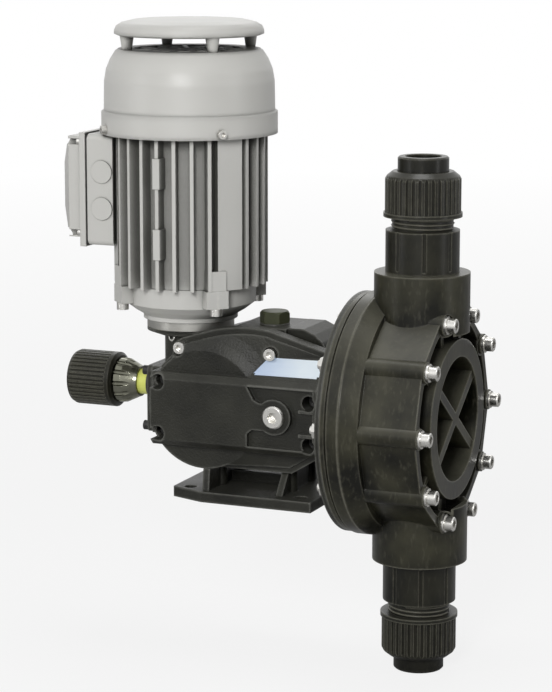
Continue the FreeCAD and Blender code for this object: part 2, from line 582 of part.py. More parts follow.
def make_worm():
    root = WORM_PITCH_RADIUS - WORM_MODULE * 1.15
    tip = WORM_PITCH_RADIUS + TIP
    low = HEAD_AXIS_Z - WORM_LENGTH / 2
    high = HEAD_AXIS_Z + WORM_LENGTH / 2
    slope = math.tan(math.radians(20))
    half = AXIAL_PITCH * (0.5 - BACKLASH) / 2
    begin = HEAD_AXIS_Z - math.ceil(WORM_LENGTH / 2 / WORM_LEAD + 0.5) * WORM_LEAD
    turns_height = 2 * (HEAD_AXIS_Z - begin)
    helix = Part.makeHelix(WORM_LEAD, turns_height, WORM_PITCH_RADIUS)
    bite = 0.4
    inner_half = half + (WORM_PITCH_RADIUS - root + bite) * slope
    outer_half = half - TIP * slope
    corners = [V(root - bite, 0, -inner_half), V(tip, 0, -outer_half), V(tip, 0, outer_half),
               V(root - bite, 0, inner_half)]
    profile = Part.makePolygon(corners + corners[:1])
    thread = Part.Wire(helix).makePipeShell([profile], True, True)
    thread.translate(V(MOTOR_X, 0, begin))
    core = rod(root, V(MOTOR_X, 0, begin - WORM_LEAD), V(MOTOR_X, 0, begin + turns_height + WORM_LEAD))
    threaded = core.multiFuse(around(thread, WORM_STARTS, MOTOR_CENTRE, "z"))
    bore = WORM_SHAFT_RADIUS + 0.02
    return threaded.common(tube(tip + 5, bore, V(MOTOR_X, 0, low), V(MOTOR_X, 0, high)))


def wheel_section(y, turn):
    """One ring of tooth corners in the plane at y, turned by the helix."""
    root = WHEEL_PITCH_RADIUS - WORM_MODULE * 1.2
    tip = WHEEL_PITCH_RADIUS + TIP
    slope = math.tan(math.radians(20))
    half = AXIAL_PITCH * (0.5 - BACKLASH) / 2
    root_half = (half + (WHEEL_PITCH_RADIUS - root) * slope) / root
    tip_half = (half - TIP * slope) / tip
    points = []
    for i in range(WHEEL_TEETH):
        middle = 2 * math.pi * (i + 0.5) / WHEEL_TEETH + turn
        for radius, offset in ((root, -root_half), (tip, -tip_half), (tip, tip_half), (root, root_half)):
            angle = middle + offset
            points.append(V(WHEEL_X - radius * math.cos(angle), y, HEAD_AXIS_Z + radius * math.sin(angle)))
    return Part.makePolygon(points + points[:1])


def make_worm_wheel():
    lead_slope = WORM_LEAD / (2 * math.pi * WORM_PITCH_RADIUS)
    twist = WHEEL_WIDTH / 2 * lead_slope / WHEEL_PITCH_RADIUS
    sections = [wheel_section(-WHEEL_WIDTH / 2, -twist), wheel_section(WHEEL_WIDTH / 2, twist)]
    wheel = Part.makeLoft(sections, True, True)
    bore = rod(CAM_SHAFT_RADIUS + 2.02, V(WHEEL_X, -20, HEAD_AXIS_Z), V(WHEEL_X, 20, HEAD_AXIS_Z))
    return wheel.cut(bore)


def make_cam_shaft():
    centre = V(WHEEL_X, 0, HEAD_AXIS_Z)
    front_end = DISC_Y + 3.5
    back_end = BACK_Y + 2.5
    shaft = rod(CAM_SHAFT_RADIUS, centre + V(0, front_end, 0), centre + V(0, back_end, 0))
    hub = rod(CAM_SHAFT_RADIUS + 2, centre - V(0, CAM_MIDDLE_Y, 0), centre + V(0, CAM_MIDDLE_Y, 0))
    cams = []
    for side in (-1, 1):
        low = side * CAM_MIDDLE_Y - CAM_WIDTH / 2
        cams.append(rod(CAM_RADIUS, centre + V(CAM_THROW, low, 0), centre + V(CAM_THROW, low + CAM_WIDTH, 0)))
    return fuse(shaft, hub, *cams)


def make_shaft_bearings():
    centre = V(WHEEL_X, 0, HEAD_AXIS_Z)
    front = DISC_Y + 3
    back = BACK_Y + 3
    rings = []
    for low in (front, back - SHAFT_BEARING_WIDTH):
        rings.append(tube(SHAFT_BEARING_RADIUS - 0.02, CAM_SHAFT_RADIUS + RUNNING_GAP, centre + V(0, low, 0),
                          centre + V(0, low + SHAFT_BEARING_WIDTH, 0)))
    return rings


# Plunger

def make_yoke():
    half = YOKE_HALF_WIDTH
    low = HEAD_AXIS_Z - YOKE_HALF_HEIGHT
    high = HEAD_AXIS_Z + YOKE_HALF_HEIGHT + 2
    frame = block(YOKE_REAR_X - YOKE_WALL, YOKE_FRONT_X + YOKE_BAR, -half, half, low, high)
    window = block(YOKE_REAR_X, YOKE_FRONT_X, -half + YOKE_WALL, half - YOKE_WALL, low - 1, high + 1)
    cam_reach = WHEEL_X + CAM_THROW + CAM_RADIUS + SEAT_GAP
    pads = [block(cam_reach, YOKE_FRONT_X + 1, side * CAM_MIDDLE_Y - CAM_WIDTH / 2, side * CAM_MIDDLE_Y + CAM_WIDTH / 2,
                  HEAD_AXIS_Z - 9, HEAD_AXIS_Z + 9) for side in (-1, 1)]
    slot_radius = CAM_SHAFT_RADIUS + 0.5
    slot = rod(slot_radius, V(WHEEL_X, -half - 1, HEAD_AXIS_Z), V(WHEEL_X, half + 1, HEAD_AXIS_Z))
    slot_end = rod(slot_radius, V(WHEEL_X - STROKE, -half - 1, HEAD_AXIS_Z), V(WHEEL_X - STROKE, half + 1, HEAD_AXIS_Z))
    slot_middle = block(WHEEL_X - STROKE, WHEEL_X, -half - 1, half + 1, HEAD_AXIS_Z - slot_radius,
                        HEAD_AXIS_Z + slot_radius)
    rod_hole = rod(ROD_RADIUS + 0.02, V(YOKE_FRONT_X - 1, 0, HEAD_AXIS_Z),
                   V(YOKE_FRONT_X + YOKE_BAR + 1, 0, HEAD_AXIS_Z))
    yoke = frame.cut(window).multiFuse(pads)
    return yoke.cut([slot, slot_end, slot_middle, rod_hole])


def make_push_rod():
    nose = CLAMP_X - DIAPHRAGM_THICK / 2 - 2.2
    return rod(ROD_RADIUS, V(YOKE_FRONT_X, 0, HEAD_AXIS_Z), V(nose - 5, 0, HEAD_AXIS_Z))


def make_backing_disc():
    nose = CLAMP_X - DIAPHRAGM_THICK / 2 - 2.2
    return lathe("x", HEAD_CENTRE, [(0, nose - 5), (DISC_RADIUS - 12, nose - 5), (DISC_RADIUS, nose - 2.5),
                                    (DISC_RADIUS, nose), (0, nose)])


def make_rod_bush():
    return tube(ROD_RADIUS + 3.98, ROD_RADIUS + RUNNING_GAP, V(FRONT_WALL_X, 0, HEAD_AXIS_Z),
                V(FRONT_WALL_X + 14, 0, HEAD_AXIS_Z))


def make_rod_seal():
    start = FRONT_WALL_X + 14
    return lathe("x", HEAD_CENTRE, [(ROD_RADIUS + 0.08, start), (ROD_RADIUS + 6.98, start),
                                    (ROD_RADIUS + 6.98, start + 5), (ROD_RADIUS + 4, start + 5),
                                    (ROD_RADIUS + 3, start + 2), (ROD_RADIUS + 0.08, start + 2)])


def make_spring():
    start = YOKE_FRONT_X + YOKE_BAR
    length = FRONT_WALL_X - start
    pitch = (length - SPRING_WIRE) / SPRING_TURNS
    helix = Part.makeHelix(pitch, length - SPRING_WIRE, SPRING_RADIUS)
    half = SPRING_WIRE / 2
    corners = [V(SPRING_RADIUS - half, 0, -half), V(SPRING_RADIUS + half, 0, -half),
               V(SPRING_RADIUS + half, 0, half), V(SPRING_RADIUS - half, 0, half)]
    profile = Part.makePolygon(corners + corners[:1])
    coil = Part.Wire(helix).makePipeShell([profile], True, True)
    coil.rotate(V(0, 0, 0), V(0, 1, 0), 90)
    coil.translate(V(start + half, 0, HEAD_AXIS_Z))
    slab = block(start, FRONT_WALL_X, -40, 40, 0, 130)
    return coil.common(slab)


# Head

def head_bolt_spots():
    spots = []
    for i in range(HEAD_BOLT_COUNT):
        turn = 2 * math.pi * (i + 0.5) / HEAD_BOLT_COUNT
        spots.append(V(0, HEAD_BOLT_CIRCLE / 2 * math.sin(turn), HEAD_AXIS_Z + HEAD_BOLT_CIRCLE / 2 * math.cos(turn)))
    return spots


def bolt_holes(start, end):
    return [rod(HEAD_BOLT_RADIUS + SCREW_GAP, place + V(start - 1, 0, 0), place + V(end + 1, 0, 0))
            for place in head_bolt_spots()]


def make_backing_plate():
    outer = HEAD_RING_RADIUS
    nose = CLAMP_X - DIAPHRAGM_THICK / 2
    stroke_room = STROKE + 1
    plate = lathe("x", HEAD_CENTRE, [(ROD_RADIUS + 2, PLATE_X), (outer - 1, PLATE_X), (outer - 1, PLATE_X + 3.2),
                                     (outer - 2, PLATE_X + 3.7), (outer - 2, PLATE_X + 4.5), (outer, PLATE_X + 5),
                                     (outer, CLAMP_X), (DIAPHRAGM_RADIUS + 0.2, CLAMP_X), (DIAPHRAGM_RADIUS + 0.2, nose),
                                     (CHAMBER_RADIUS, nose), (DISC_RADIUS + 2, nose - stroke_room - 3),
                                     (DISC_RADIUS + 2, nose - 8.5), (ROD_RADIUS + 2, nose - 8.5)])
    return plate.cut(bolt_holes(PLATE_X, CLAMP_X))


def make_diaphragm():
    half = DIAPHRAGM_THICK / 2
    return lathe("x", HEAD_CENTRE, [(0, CLAMP_X - half - 2), (DISC_RADIUS, CLAMP_X - half - 2),
                                    (DISC_RADIUS + 8, CLAMP_X - half + 0.6), (CHAMBER_RADIUS, CLAMP_X - half),
                                    (DIAPHRAGM_RADIUS, CLAMP_X - half), (DIAPHRAGM_RADIUS, CLAMP_X + half),
                                    (CHAMBER_RADIUS, CLAMP_X + half), (DISC_RADIUS + 7, CLAMP_X + half - 0.6),
                                    (DISC_RADIUS - 2, CLAMP_X + half - 2), (0, CLAMP_X + half - 2)])


def drum_outline():
    points = []
    for i in range(HEAD_BOLT_COUNT):
        turn = 2 * math.pi * (i + 0.5) / HEAD_BOLT_COUNT
        points.append((DRUM_VERTEX_RADIUS * math.sin(turn), HEAD_AXIS_Z + DRUM_VERTEX_RADIUS * math.cos(turn)))
    return points


def make_front_relief():
    """The hollows in the head's front: pockets round the rim and four deep ones between the spokes."""
    rim_floor = FACE_X - 2 - 10
    rim_ring = lathe("x", HEAD_CENTRE, [(FRONT_RING_OUTER, rim_floor), (HEAD_BOLT_CIRCLE / 2 - 4, rim_floor),
                                        (HEAD_BOLT_CIRCLE / 2 - 3, FACE_X + 3), (FRONT_RING_OUTER, FACE_X + 3)])
    keep = []
    for place in head_bolt_spots():
        keep.append(rod(COLUMN_RADIUS + 1.3, place + V(rim_floor - 1, 0, 0), place + V(FACE_X + 4, 0, 0)))
        direction = (place - HEAD_CENTRE).normalize()
        rib = block(rim_floor - 1, FACE_X - 4, -2, 2, HEAD_AXIS_Z + FRONT_RING_OUTER - 2,
                    HEAD_AXIS_Z + HEAD_BOLT_CIRCLE / 2)
        keep.append(turned(rib, HEAD_CENTRE, "x", -math.degrees(math.atan2(direction.y, direction.z))))
    rim_pockets = rim_ring.cut(keep)
    middle = rod(FRONT_RING_INNER, V(FACE_X - 2 - POCKET_DEPTH, 0, HEAD_AXIS_Z), V(FACE_X + 4, 0, HEAD_AXIS_Z))
    spoke = block(FACE_X - 3 - POCKET_DEPTH, FACE_X, -60, 60, HEAD_AXIS_Z - SPOKE_WIDTH / 2,
                  HEAD_AXIS_Z + SPOKE_WIDTH / 2)
    spokes = [turned(spoke, HEAD_CENTRE, "x", side * SPOKE_ANGLE) for side in (-1, 1)]
    return [rim_pockets, middle.cut(spokes)]


def make_pump_head():
    half = DIAPHRAGM_THICK / 2
    outer = HEAD_RING_RADIUS
    ring = lathe("x", HEAD_CENTRE, [(0, CLAMP_X), (outer, CLAMP_X), (outer, CLAMP_X + 1),
                                    (DRUM_VERTEX_RADIUS + 1.5, DRUM_X), (0, DRUM_X)])
    drum = prism("yz", drum_outline(), DRUM_X - 1, FACE_X - 2)
    columns = [rod(COLUMN_RADIUS, place + V(DRUM_X - 1, 0, 0), place + V(FACE_X, 0, 0)) for place in head_bolt_spots()]
    raised = rod(FRONT_RING_OUTER, V(FACE_X - 3, 0, HEAD_AXIS_Z), V(FACE_X + 1.5, 0, HEAD_AXIS_Z))
    ports = []
    cuts = []
    for side in (-1, 1):
        ports.append(rod(PORT_RADIUS, V(VALVE_X, 0, HEAD_AXIS_Z + side * 60),
                         V(VALVE_X, 0, HEAD_AXIS_Z + side * PORT_REACH)))
        cuts.append(rod(SPIGOT_RADIUS + 0.05, V(VALVE_X, 0, HEAD_AXIS_Z + side * (PORT_REACH - SPIGOT_LENGTH)),
                        V(VALVE_X, 0, HEAD_AXIS_Z + side * (PORT_REACH + 1))))
        cuts.append(rod(VALVE_BORE_RADIUS - 3, V(VALVE_X - 8, 0, HEAD_AXIS_Z + side * (CHAMBER_RADIUS - 8)),
                        V(VALVE_X - 8, 0, HEAD_AXIS_Z + side * (PORT_REACH - SPIGOT_LENGTH + 1))))
        cuts.append(rod(7, V(CLAMP_X + half, 0, HEAD_AXIS_Z + side * (CHAMBER_RADIUS - 9)),
                        V(VALVE_X - 8, 0, HEAD_AXIS_Z + side * (CHAMBER_RADIUS - 9))))
    head = drum.multiFuse([ring, raised] + columns + ports)
    chamber = lathe("x", HEAD_CENTRE, [(0, CLAMP_X - 1), (DIAPHRAGM_RADIUS + 0.2, CLAMP_X - 1),
                                       (DIAPHRAGM_RADIUS + 0.2, CLAMP_X + half), (CHAMBER_RADIUS, CLAMP_X + half),
                                       (DISC_RADIUS, CLAMP_X + half + 4), (0, CLAMP_X + half + 5)])
    backing_space = rod(HEAD_RING_RADIUS + SEAT_GAP, V(PLATE_X, 0, HEAD_AXIS_Z), V(CLAMP_X, 0, HEAD_AXIS_Z))
    cuts += [chamber, backing_space]
    cuts += [rod(WASHER_RADIUS + 0.8, place + V(FACE_X, 0, 0), place + V(FACE_X + 10, 0, 0))
             for place in head_bolt_spots()]
    cuts += bolt_holes(CLAMP_X, FACE_X)
    return head.cut(cuts).cut(make_front_relief())


def make_head_fasteners():
    bolts = []
    washers = []
    nuts = []
    for place in head_bolt_spots():
        seat = FACE_X + WASHER_THICK
        nut_front = HEAD_FLANGE_X
        head = lathe("x", place, [(0, seat), (HEAD_BOLT_HEAD_RADIUS, seat),
                                  (HEAD_BOLT_HEAD_RADIUS, seat + HEAD_BOLT_HEAD_LENGTH - 0.6),
                                  (HEAD_BOLT_HEAD_RADIUS - 0.6, seat + HEAD_BOLT_HEAD_LENGTH),
                                  (0, seat + HEAD_BOLT_HEAD_LENGTH)])
        flats = 2.9
        socket = prism("yz", [(place.y + flats * math.cos(math.radians(60 * i)),
                               place.z + flats * math.sin(math.radians(60 * i))) for i in range(6)],
                       seat + 3, seat + HEAD_BOLT_HEAD_LENGTH + 1)
        shank = rod(HEAD_BOLT_RADIUS, place + V(nut_front - NUT_THICK - 2, 0, 0), place + V(seat, 0, 0))
        bolts.append(head.cut(socket).fuse(shank))
        washers.append(tube(WASHER_RADIUS, HEAD_BOLT_RADIUS + 0.2, place + V(FACE_X, 0, 0), place + V(seat, 0, 0)))
        nut = prism("yz", [(place.y + 5.8 * math.cos(math.radians(60 * i)),
                            place.z + 5.8 * math.sin(math.radians(60 * i))) for i in range(6)],
                    nut_front - NUT_THICK, nut_front)
        nuts.append(nut.cut(rod(HEAD_BOLT_RADIUS + 0.02, place + V(nut_front - NUT_THICK - 1, 0, 0),
                                place + V(nut_front + 1, 0, 0))))
    return bolts, washers, nuts


# Check valves

def valve_frame(side):
    """Returns a function that gives the point at a reach from the head axis, on one valve's axis."""
    return lambda reach: V(VALVE_X, 0, HEAD_AXIS_Z + side * reach)


def valve_lathe(side, points):
    return lathe("z", V(VALVE_X, 0, 0), [(r, HEAD_AXIS_Z + side * u) for r, u in points])


def valve_levels(side):
    """Reach of the seat's sealing edge and of the ball's centre for the valve on that side."""
    drop = math.sqrt(BALL_RADIUS ** 2 - SEAT_HOLE_RADIUS ** 2) + RUNNING_GAP
    if side > 0:
        edge = PORT_REACH - SPIGOT_LENGTH + SEAT_LENGTH
        return edge, edge + drop
    edge = PORT_REACH + 16
    return edge, edge - drop


def make_valve_body(side):
    base = PORT_REACH - SPIGOT_LENGTH
    top = UNION_REACH
    at = valve_frame(side)
    points = [(0, base), (SPIGOT_RADIUS, base), (SPIGOT_RADIUS, PORT_REACH), (CARTRIDGE_RADIUS, PORT_REACH),
              (CARTRIDGE_RADIUS, PORT_REACH + CARTRIDGE_LENGTH), (THREAD_RADIUS, PORT_REACH + CARTRIDGE_LENGTH + 1),
              (THREAD_RADIUS, top - 1), (THREAD_RADIUS - 1, top), (0, top)]
    body = valve_lathe(side, points)
    flute = rod(1.3, at(PORT_REACH + 2.5) + V(CARTRIDGE_RADIUS + 0.3, 0, 0),
                at(PORT_REACH + CARTRIDGE_LENGTH + 1) + V(CARTRIDGE_RADIUS + 0.3, 0, 0))
    cuts = around(flute, CARTRIDGE_FLUTES, V(VALVE_X, 0, 0), "z", 22.5)
    edge, centre = valve_levels(side)
    cuts.append(rod(VALVE_BORE_RADIUS, at(base - 1), at(top + 1)))
    if side > 0:
        cuts.append(rod(SEAT_HOLE_RADIUS + 7, at(base - 1), at(edge)))
        stop = centre + BALL_RADIUS + BALL_LIFT + SEAT_GAP
    else:
        cuts.append(rod(SEAT_HOLE_RADIUS + 7, at(edge), at(top + 1)))
        stop = centre - BALL_RADIUS - BALL_LIFT - SEAT_GAP
    body = body.cut(cuts)
    far = stop + side * 3 if side > 0 else stop - 3
    bar = rod(VALVE_BORE_RADIUS + 1, at(stop), at(far))
    low = min(at(stop).z, at(far).z)
    webs = [block(VALVE_X - 20, VALVE_X + 20, -1.5, 1.5, low, low + 3),
            block(VALVE_X - 1.5, VALVE_X + 1.5, -20, 20, low, low + 3)]
    return body.multiFuse([web.common(bar) for web in webs])


def make_valve_seat(side):
    edge, centre = valve_levels(side)
    inner = SEAT_HOLE_RADIUS
    outer = SEAT_HOLE_RADIUS + 6.95
    step = -SEAT_LENGTH if side > 0 else SEAT_LENGTH
    return valve_lathe(side, [(inner, edge), (outer, edge), (outer, edge + step), (inner, edge + step)])


def make_valve_ball(side):
    edge, centre = valve_levels(side)
    return Part.makeSphere(BALL_RADIUS, valve_frame(side)(centre))


def make_socket(side):
    base = UNION_REACH
    flange = THREAD_RADIUS - 0.6
    return valve_lathe(side, [(10, base), (SEAL_INNER, base), (SEAL_INNER, base + SEAL_THICK),
                              (SEAL_OUTER, base + SEAL_THICK), (SEAL_OUTER, base), (flange, base),
                              (flange, base + SOCKET_FLANGE),
                              (SOCKET_RADIUS, base + SOCKET_FLANGE), (SOCKET_RADIUS, SOCKET_REACH - 1),
                              (SOCKET_RADIUS - 1, SOCKET_REACH), (SOCKET_BORE_RADIUS, SOCKET_REACH),
                              (SOCKET_BORE_RADIUS, SOCKET_REACH - SOCKET_DEPTH), (10, SOCKET_REACH - SOCKET_DEPTH)])


def make_socket_seal(side):
    base = UNION_REACH
    return valve_lathe(side, [(SEAL_INNER, base), (SEAL_OUTER, base), (SEAL_OUTER, base + SEAL_THICK),
                              (SEAL_INNER, base + SEAL_THICK)])


def make_union_nut(side):
    shoulder = UNION_REACH + SOCKET_FLANGE + 0.1
    outline = ribbed_outline(NUT_RIBS, NUT_RADIUS, NUT_RADIUS - 1.0)
    points = [(u + VALVE_X, v) for u, v in outline]
    at = valve_frame(side)
    low = min(at(NUT_START).z, at(NUT_END).z)
    ribs = prism("xy", points, low, low + NUT_END - NUT_START)
    profile = valve_lathe(side, [(0, NUT_START), (NUT_RADIUS + 1, NUT_START), (NUT_RADIUS + 1, NUT_END - 7),
                                 (NUT_RADIUS - 1.2, NUT_END - 3), (SOCKET_RADIUS + 3.5, NUT_END), (0, NUT_END)])
    bead = valve_lathe(side, [(0, NUT_START), (NUT_RADIUS + 1, NUT_START), (NUT_RADIUS + 1, NUT_START + 3), (0, NUT_START + 3)])
    nut = ribs.common(profile).fuse(bead)
    thread = rod(THREAD_RADIUS + RUNNING_GAP, at(NUT_START - 1), at(shoulder))
    mouth = rod(SOCKET_RADIUS + 0.25, at(NUT_START), at(NUT_END + 1))
    return nut.cut([thread, mouth])


# Motor

def diagonal_spots(radius, z):
    """Four places at 45 degrees round the motor axis."""
    spots = []
    for i in range(4):
        turn = math.radians(45 + 90 * i)
        spots.append(V(MOTOR_X + radius * math.cos(turn), radius * math.sin(turn), z))
    return spots


def make_adapter_collar():
    return lathe("z", MOTOR_CENTRE, [(MOTOR_SHAFT_RADIUS + 3, LANTERN_TOP_Z), (LANTERN_RADIUS - 0.5, LANTERN_TOP_Z),
                                     (LANTERN_RADIUS, LANTERN_TOP_Z + 0.6), (LANTERN_RADIUS, MOTOR_FOOT_Z - 0.6),
                                     (LANTERN_RADIUS - 0.5, MOTOR_FOOT_Z), (MOTOR_SHAFT_RADIUS + 3, MOTOR_FOOT_Z)])


def make_drive_shield():
    bearing_top = SHIELD_BOTTOM_Z + 2 + MOTOR_BEARING_WIDTH
    shell = lathe("z", MOTOR_CENTRE, [(0, MOTOR_FOOT_Z), (LANTERN_RADIUS + 2.5, MOTOR_FOOT_Z),
                                      (LANTERN_RADIUS + 2.5, SHIELD_BOTTOM_Z - 1), (LANTERN_RADIUS + 4, SHIELD_BOTTOM_Z),
                                      (40, SHIELD_BOTTOM_Z + 3), (SHIELD_RADIUS, SHIELD_BOTTOM_Z + 8),
                                      (SHIELD_RADIUS, FRAME_BOTTOM_Z), (0, FRAME_BOTTOM_Z)])
    lug = block(MOTOR_X + 30, MOTOR_X + FRAME_RADIUS - 0.5, -8, 8, SHIELD_BOTTOM_Z + 9, FRAME_BOTTOM_Z)
    lugs = around(lug, 4, MOTOR_CENTRE, "z", 45)
    shell = shell.multiFuse(lugs)
    room = lathe("z", MOTOR_CENTRE, [(0, bearing_top), (MOTOR_BEARING_RADIUS + 6, bearing_top),
                                     (STATOR_RADIUS - 1, SHIELD_BOTTOM_Z + 16), (STATOR_RADIUS - 1, FRAME_BOTTOM_Z + 1),
                                     (0, FRAME_BOTTOM_Z + 1)])
    bearing = rod(MOTOR_BEARING_RADIUS, V(MOTOR_X, 0, SHIELD_BOTTOM_Z + 2), V(MOTOR_X, 0, bearing_top + 1))
    bore = rod(MOTOR_SHAFT_RADIUS + 1, V(MOTOR_X, 0, MOTOR_FOOT_Z - 1), V(MOTOR_X, 0, bearing_top + 1))
    holes = [rod(2.5 + SCREW_GAP, place, place + V(0, 0, 30)) for place in diagonal_spots(LUG_CIRCLE / 2 + 2, SHIELD_BOTTOM_Z)]
    return shell.cut([room, bearing, bore] + holes)


def make_shield_bolts():
    seat = SHIELD_BOTTOM_Z + 9
    return [cap_screw(2.5, FRAME_BOTTOM_Z - seat + 10, place, V(0, 0, 1))
            for place in diagonal_spots(LUG_CIRCLE / 2 + 2, seat)]


def fin_angles():
    """Directions of the cooling fins, in degrees from the -Y side towards +X."""
    angles = []
    for side in (0, 180):
        angles += [side + FIN_PITCH * i for i in range(-3, 4)]
    angles += [90 + FIN_PITCH * (i - 0.5) for i in range(0, 2)]
    angles += [90 - FIN_PITCH * 1.5 + 0.5, 90 + FIN_PITCH * 1.5 - 0.5]
    return angles


def make_motor_frame():
    height = FRAME_TOP_Z - FRAME_BOTTOM_Z
    low = V(MOTOR_X, 0, FRAME_BOTTOM_Z)
    barrel = Part.makeCylinder(FRAME_ROOT_RADIUS, height, low)
    fin = block(MOTOR_X + FRAME_ROOT_RADIUS - 2, MOTOR_X + FRAME_RADIUS, -FIN_THICK / 2, FIN_THICK / 2, FRAME_BOTTOM_Z,
                FRAME_TOP_Z)
    fins = [turned(fin, MOTOR_CENTRE, "z", angle - 90) for angle in fin_angles()]
    spread = math.radians(10.5)
    panel_radius = FRAME_RADIUS * 0.985
    panel = [(MOTOR_X + panel_radius * math.cos(t), panel_radius * math.sin(t)) for t in (-spread, spread)]
    panel += [(MOTOR_X + 42 * math.cos(t), 42 * math.sin(t)) for t in (spread, -spread)]
    panels = [turned(prism("xy", panel, FRAME_BOTTOM_Z, FRAME_TOP_Z), MOTOR_CENTRE, "z", angle)
              for angle in (-34, 34, 146, 214)]
    lug = block(MOTOR_X + 42, MOTOR_X + FRAME_RADIUS - 0.5, -6.5, 6.5, FRAME_BOTTOM_Z, FRAME_BOTTOM_Z + 14)
    lugs = around(lug, 4, MOTOR_CENTRE, "z", 45)
    pad = block(SEAT_PAD_X, MOTOR_X - 40, -30, 30, BOX_CENTRE_Z - BOX_HALF_Z + 3, BOX_CENTRE_Z + BOX_HALF_Z - 3)
    neck = block(SEAT_PAD_X + 2, MOTOR_X - 40, -8, 8, FRAME_BOTTOM_Z + 4, BOX_CENTRE_Z)
    pads = [block(MOTOR_X - 2.6, MOTOR_X + 2.6, -FRAME_RADIUS - 1, -FRAME_ROOT_RADIUS, z, z + 21) for z in (220, 171)]
    frame = barrel.multiFuse(fins + panels + lugs + [pad, neck] + pads)
    bore = rod(STATOR_RADIUS, low - V(0, 0, 1), V(MOTOR_X, 0, FRAME_TOP_Z + 1))
    window = block(SEAT_PAD_X - 1, MOTOR_X - 30, -12, 12, BOX_CENTRE_Z - 14, BOX_CENTRE_Z + 14)
    box_space = block(SEAT_PAD_X - 20, SEAT_PAD_X, -60, 60, FRAME_BOTTOM_Z, FRAME_TOP_Z)
    holes = [rod(2.5, place, place + V(0, 0, 12)) for place in diagonal_spots(LUG_CIRCLE / 2 + 2, FRAME_BOTTOM_Z - 1)]
    return frame.cut([bore, window, box_space] + holes)


def make_fan_shield():
    top = FRAME_TOP_Z + 8
    plate = rod(FRAME_RADIUS - 1, V(MOTOR_X, 0, FRAME_TOP_Z), V(MOTOR_X, 0, top))
    lug = block(MOTOR_X + 40, MOTOR_X + COWL_SKIRT_RADIUS - COWL_WALL - 0.8, -6, 6, FRAME_TOP_Z, top)
    plate = plate.multiFuse(around(lug, 4, MOTOR_CENTRE, "z", 45))
    boss = rod(MOTOR_BEARING_RADIUS + 4, V(MOTOR_X, 0, FRAME_TOP_Z), V(MOTOR_X, 0, top + 5))
    bearing = rod(MOTOR_BEARING_RADIUS, V(MOTOR_X, 0, FRAME_TOP_Z - 1), V(MOTOR_X, 0, FRAME_TOP_Z + MOTOR_BEARING_WIDTH))
    bore = rod(MOTOR_SHAFT_RADIUS + 1, V(MOTOR_X, 0, FRAME_TOP_Z), V(MOTOR_X, 0, top + 6))
    return plate.fuse(boss).cut([bearing, bore])


def make_motor_bearings():
    rings = []
    for low in (SHIELD_BOTTOM_Z + 2, FRAME_TOP_Z):
        rings.append(tube(MOTOR_BEARING_RADIUS - 0.02, MOTOR_SHAFT_RADIUS + RUNNING_GAP, V(MOTOR_X, 0, low),
                          V(MOTOR_X, 0, low + MOTOR_BEARING_WIDTH)))
    return rings


def make_stator():
    core = tube(STATOR_RADIUS - 0.02, ROTOR_RADIUS + 0.4, V(MOTOR_X, 0, FRAME_BOTTOM_Z + 22), V(MOTOR_X, 0, FRAME_TOP_Z - 22))
    ends = [tube(STATOR_RADIUS - 3, ROTOR_RADIUS + 1.5, V(MOTOR_X, 0, z), V(MOTOR_X, 0, z + 16))
            for z in (FRAME_BOTTOM_Z + 6, FRAME_TOP_Z - 22)]
    return core.multiFuse(ends)


def make_motor_shaft():
    tail = COWL_TOP_Z - 18
    shaft = rod(MOTOR_SHAFT_RADIUS, V(MOTOR_X, 0, HEAD_AXIS_Z + WORM_LENGTH / 2), V(MOTOR_X, 0, tail))
    nose = rod(WORM_SHAFT_RADIUS, V(MOTOR_X, 0, 33), V(MOTOR_X, 0, HEAD_AXIS_Z + WORM_LENGTH / 2))
    return shaft.fuse(nose)


def make_rotor():
    return tube(ROTOR_RADIUS, MOTOR_SHAFT_RADIUS + 0.02, V(MOTOR_X, 0, FRAME_BOTTOM_Z + 22), V(MOTOR_X, 0, FRAME_TOP_Z - 22))


def make_fan():
    low = FRAME_TOP_Z + 16
    disc = lathe("z", MOTOR_CENTRE, [(MOTOR_SHAFT_RADIUS + 0.02, low), (FAN_RADIUS, low), (FAN_RADIUS, low + 2),
                                     (14, low + 2.5), (12, low + 16), (MOTOR_SHAFT_RADIUS + 0.02, low + 16)])
    blade_outline = [(11, low + 1), (FAN_RADIUS, low + 1), (FAN_RADIUS, low + 14), (13, low + 20), (11, low + 16)]
    blade = prism("xz", [(MOTOR_X + r, z) for r, z in blade_outline], -1, 1)
    return disc.multiFuse(around(blade, 8, MOTOR_CENTRE, "z"))


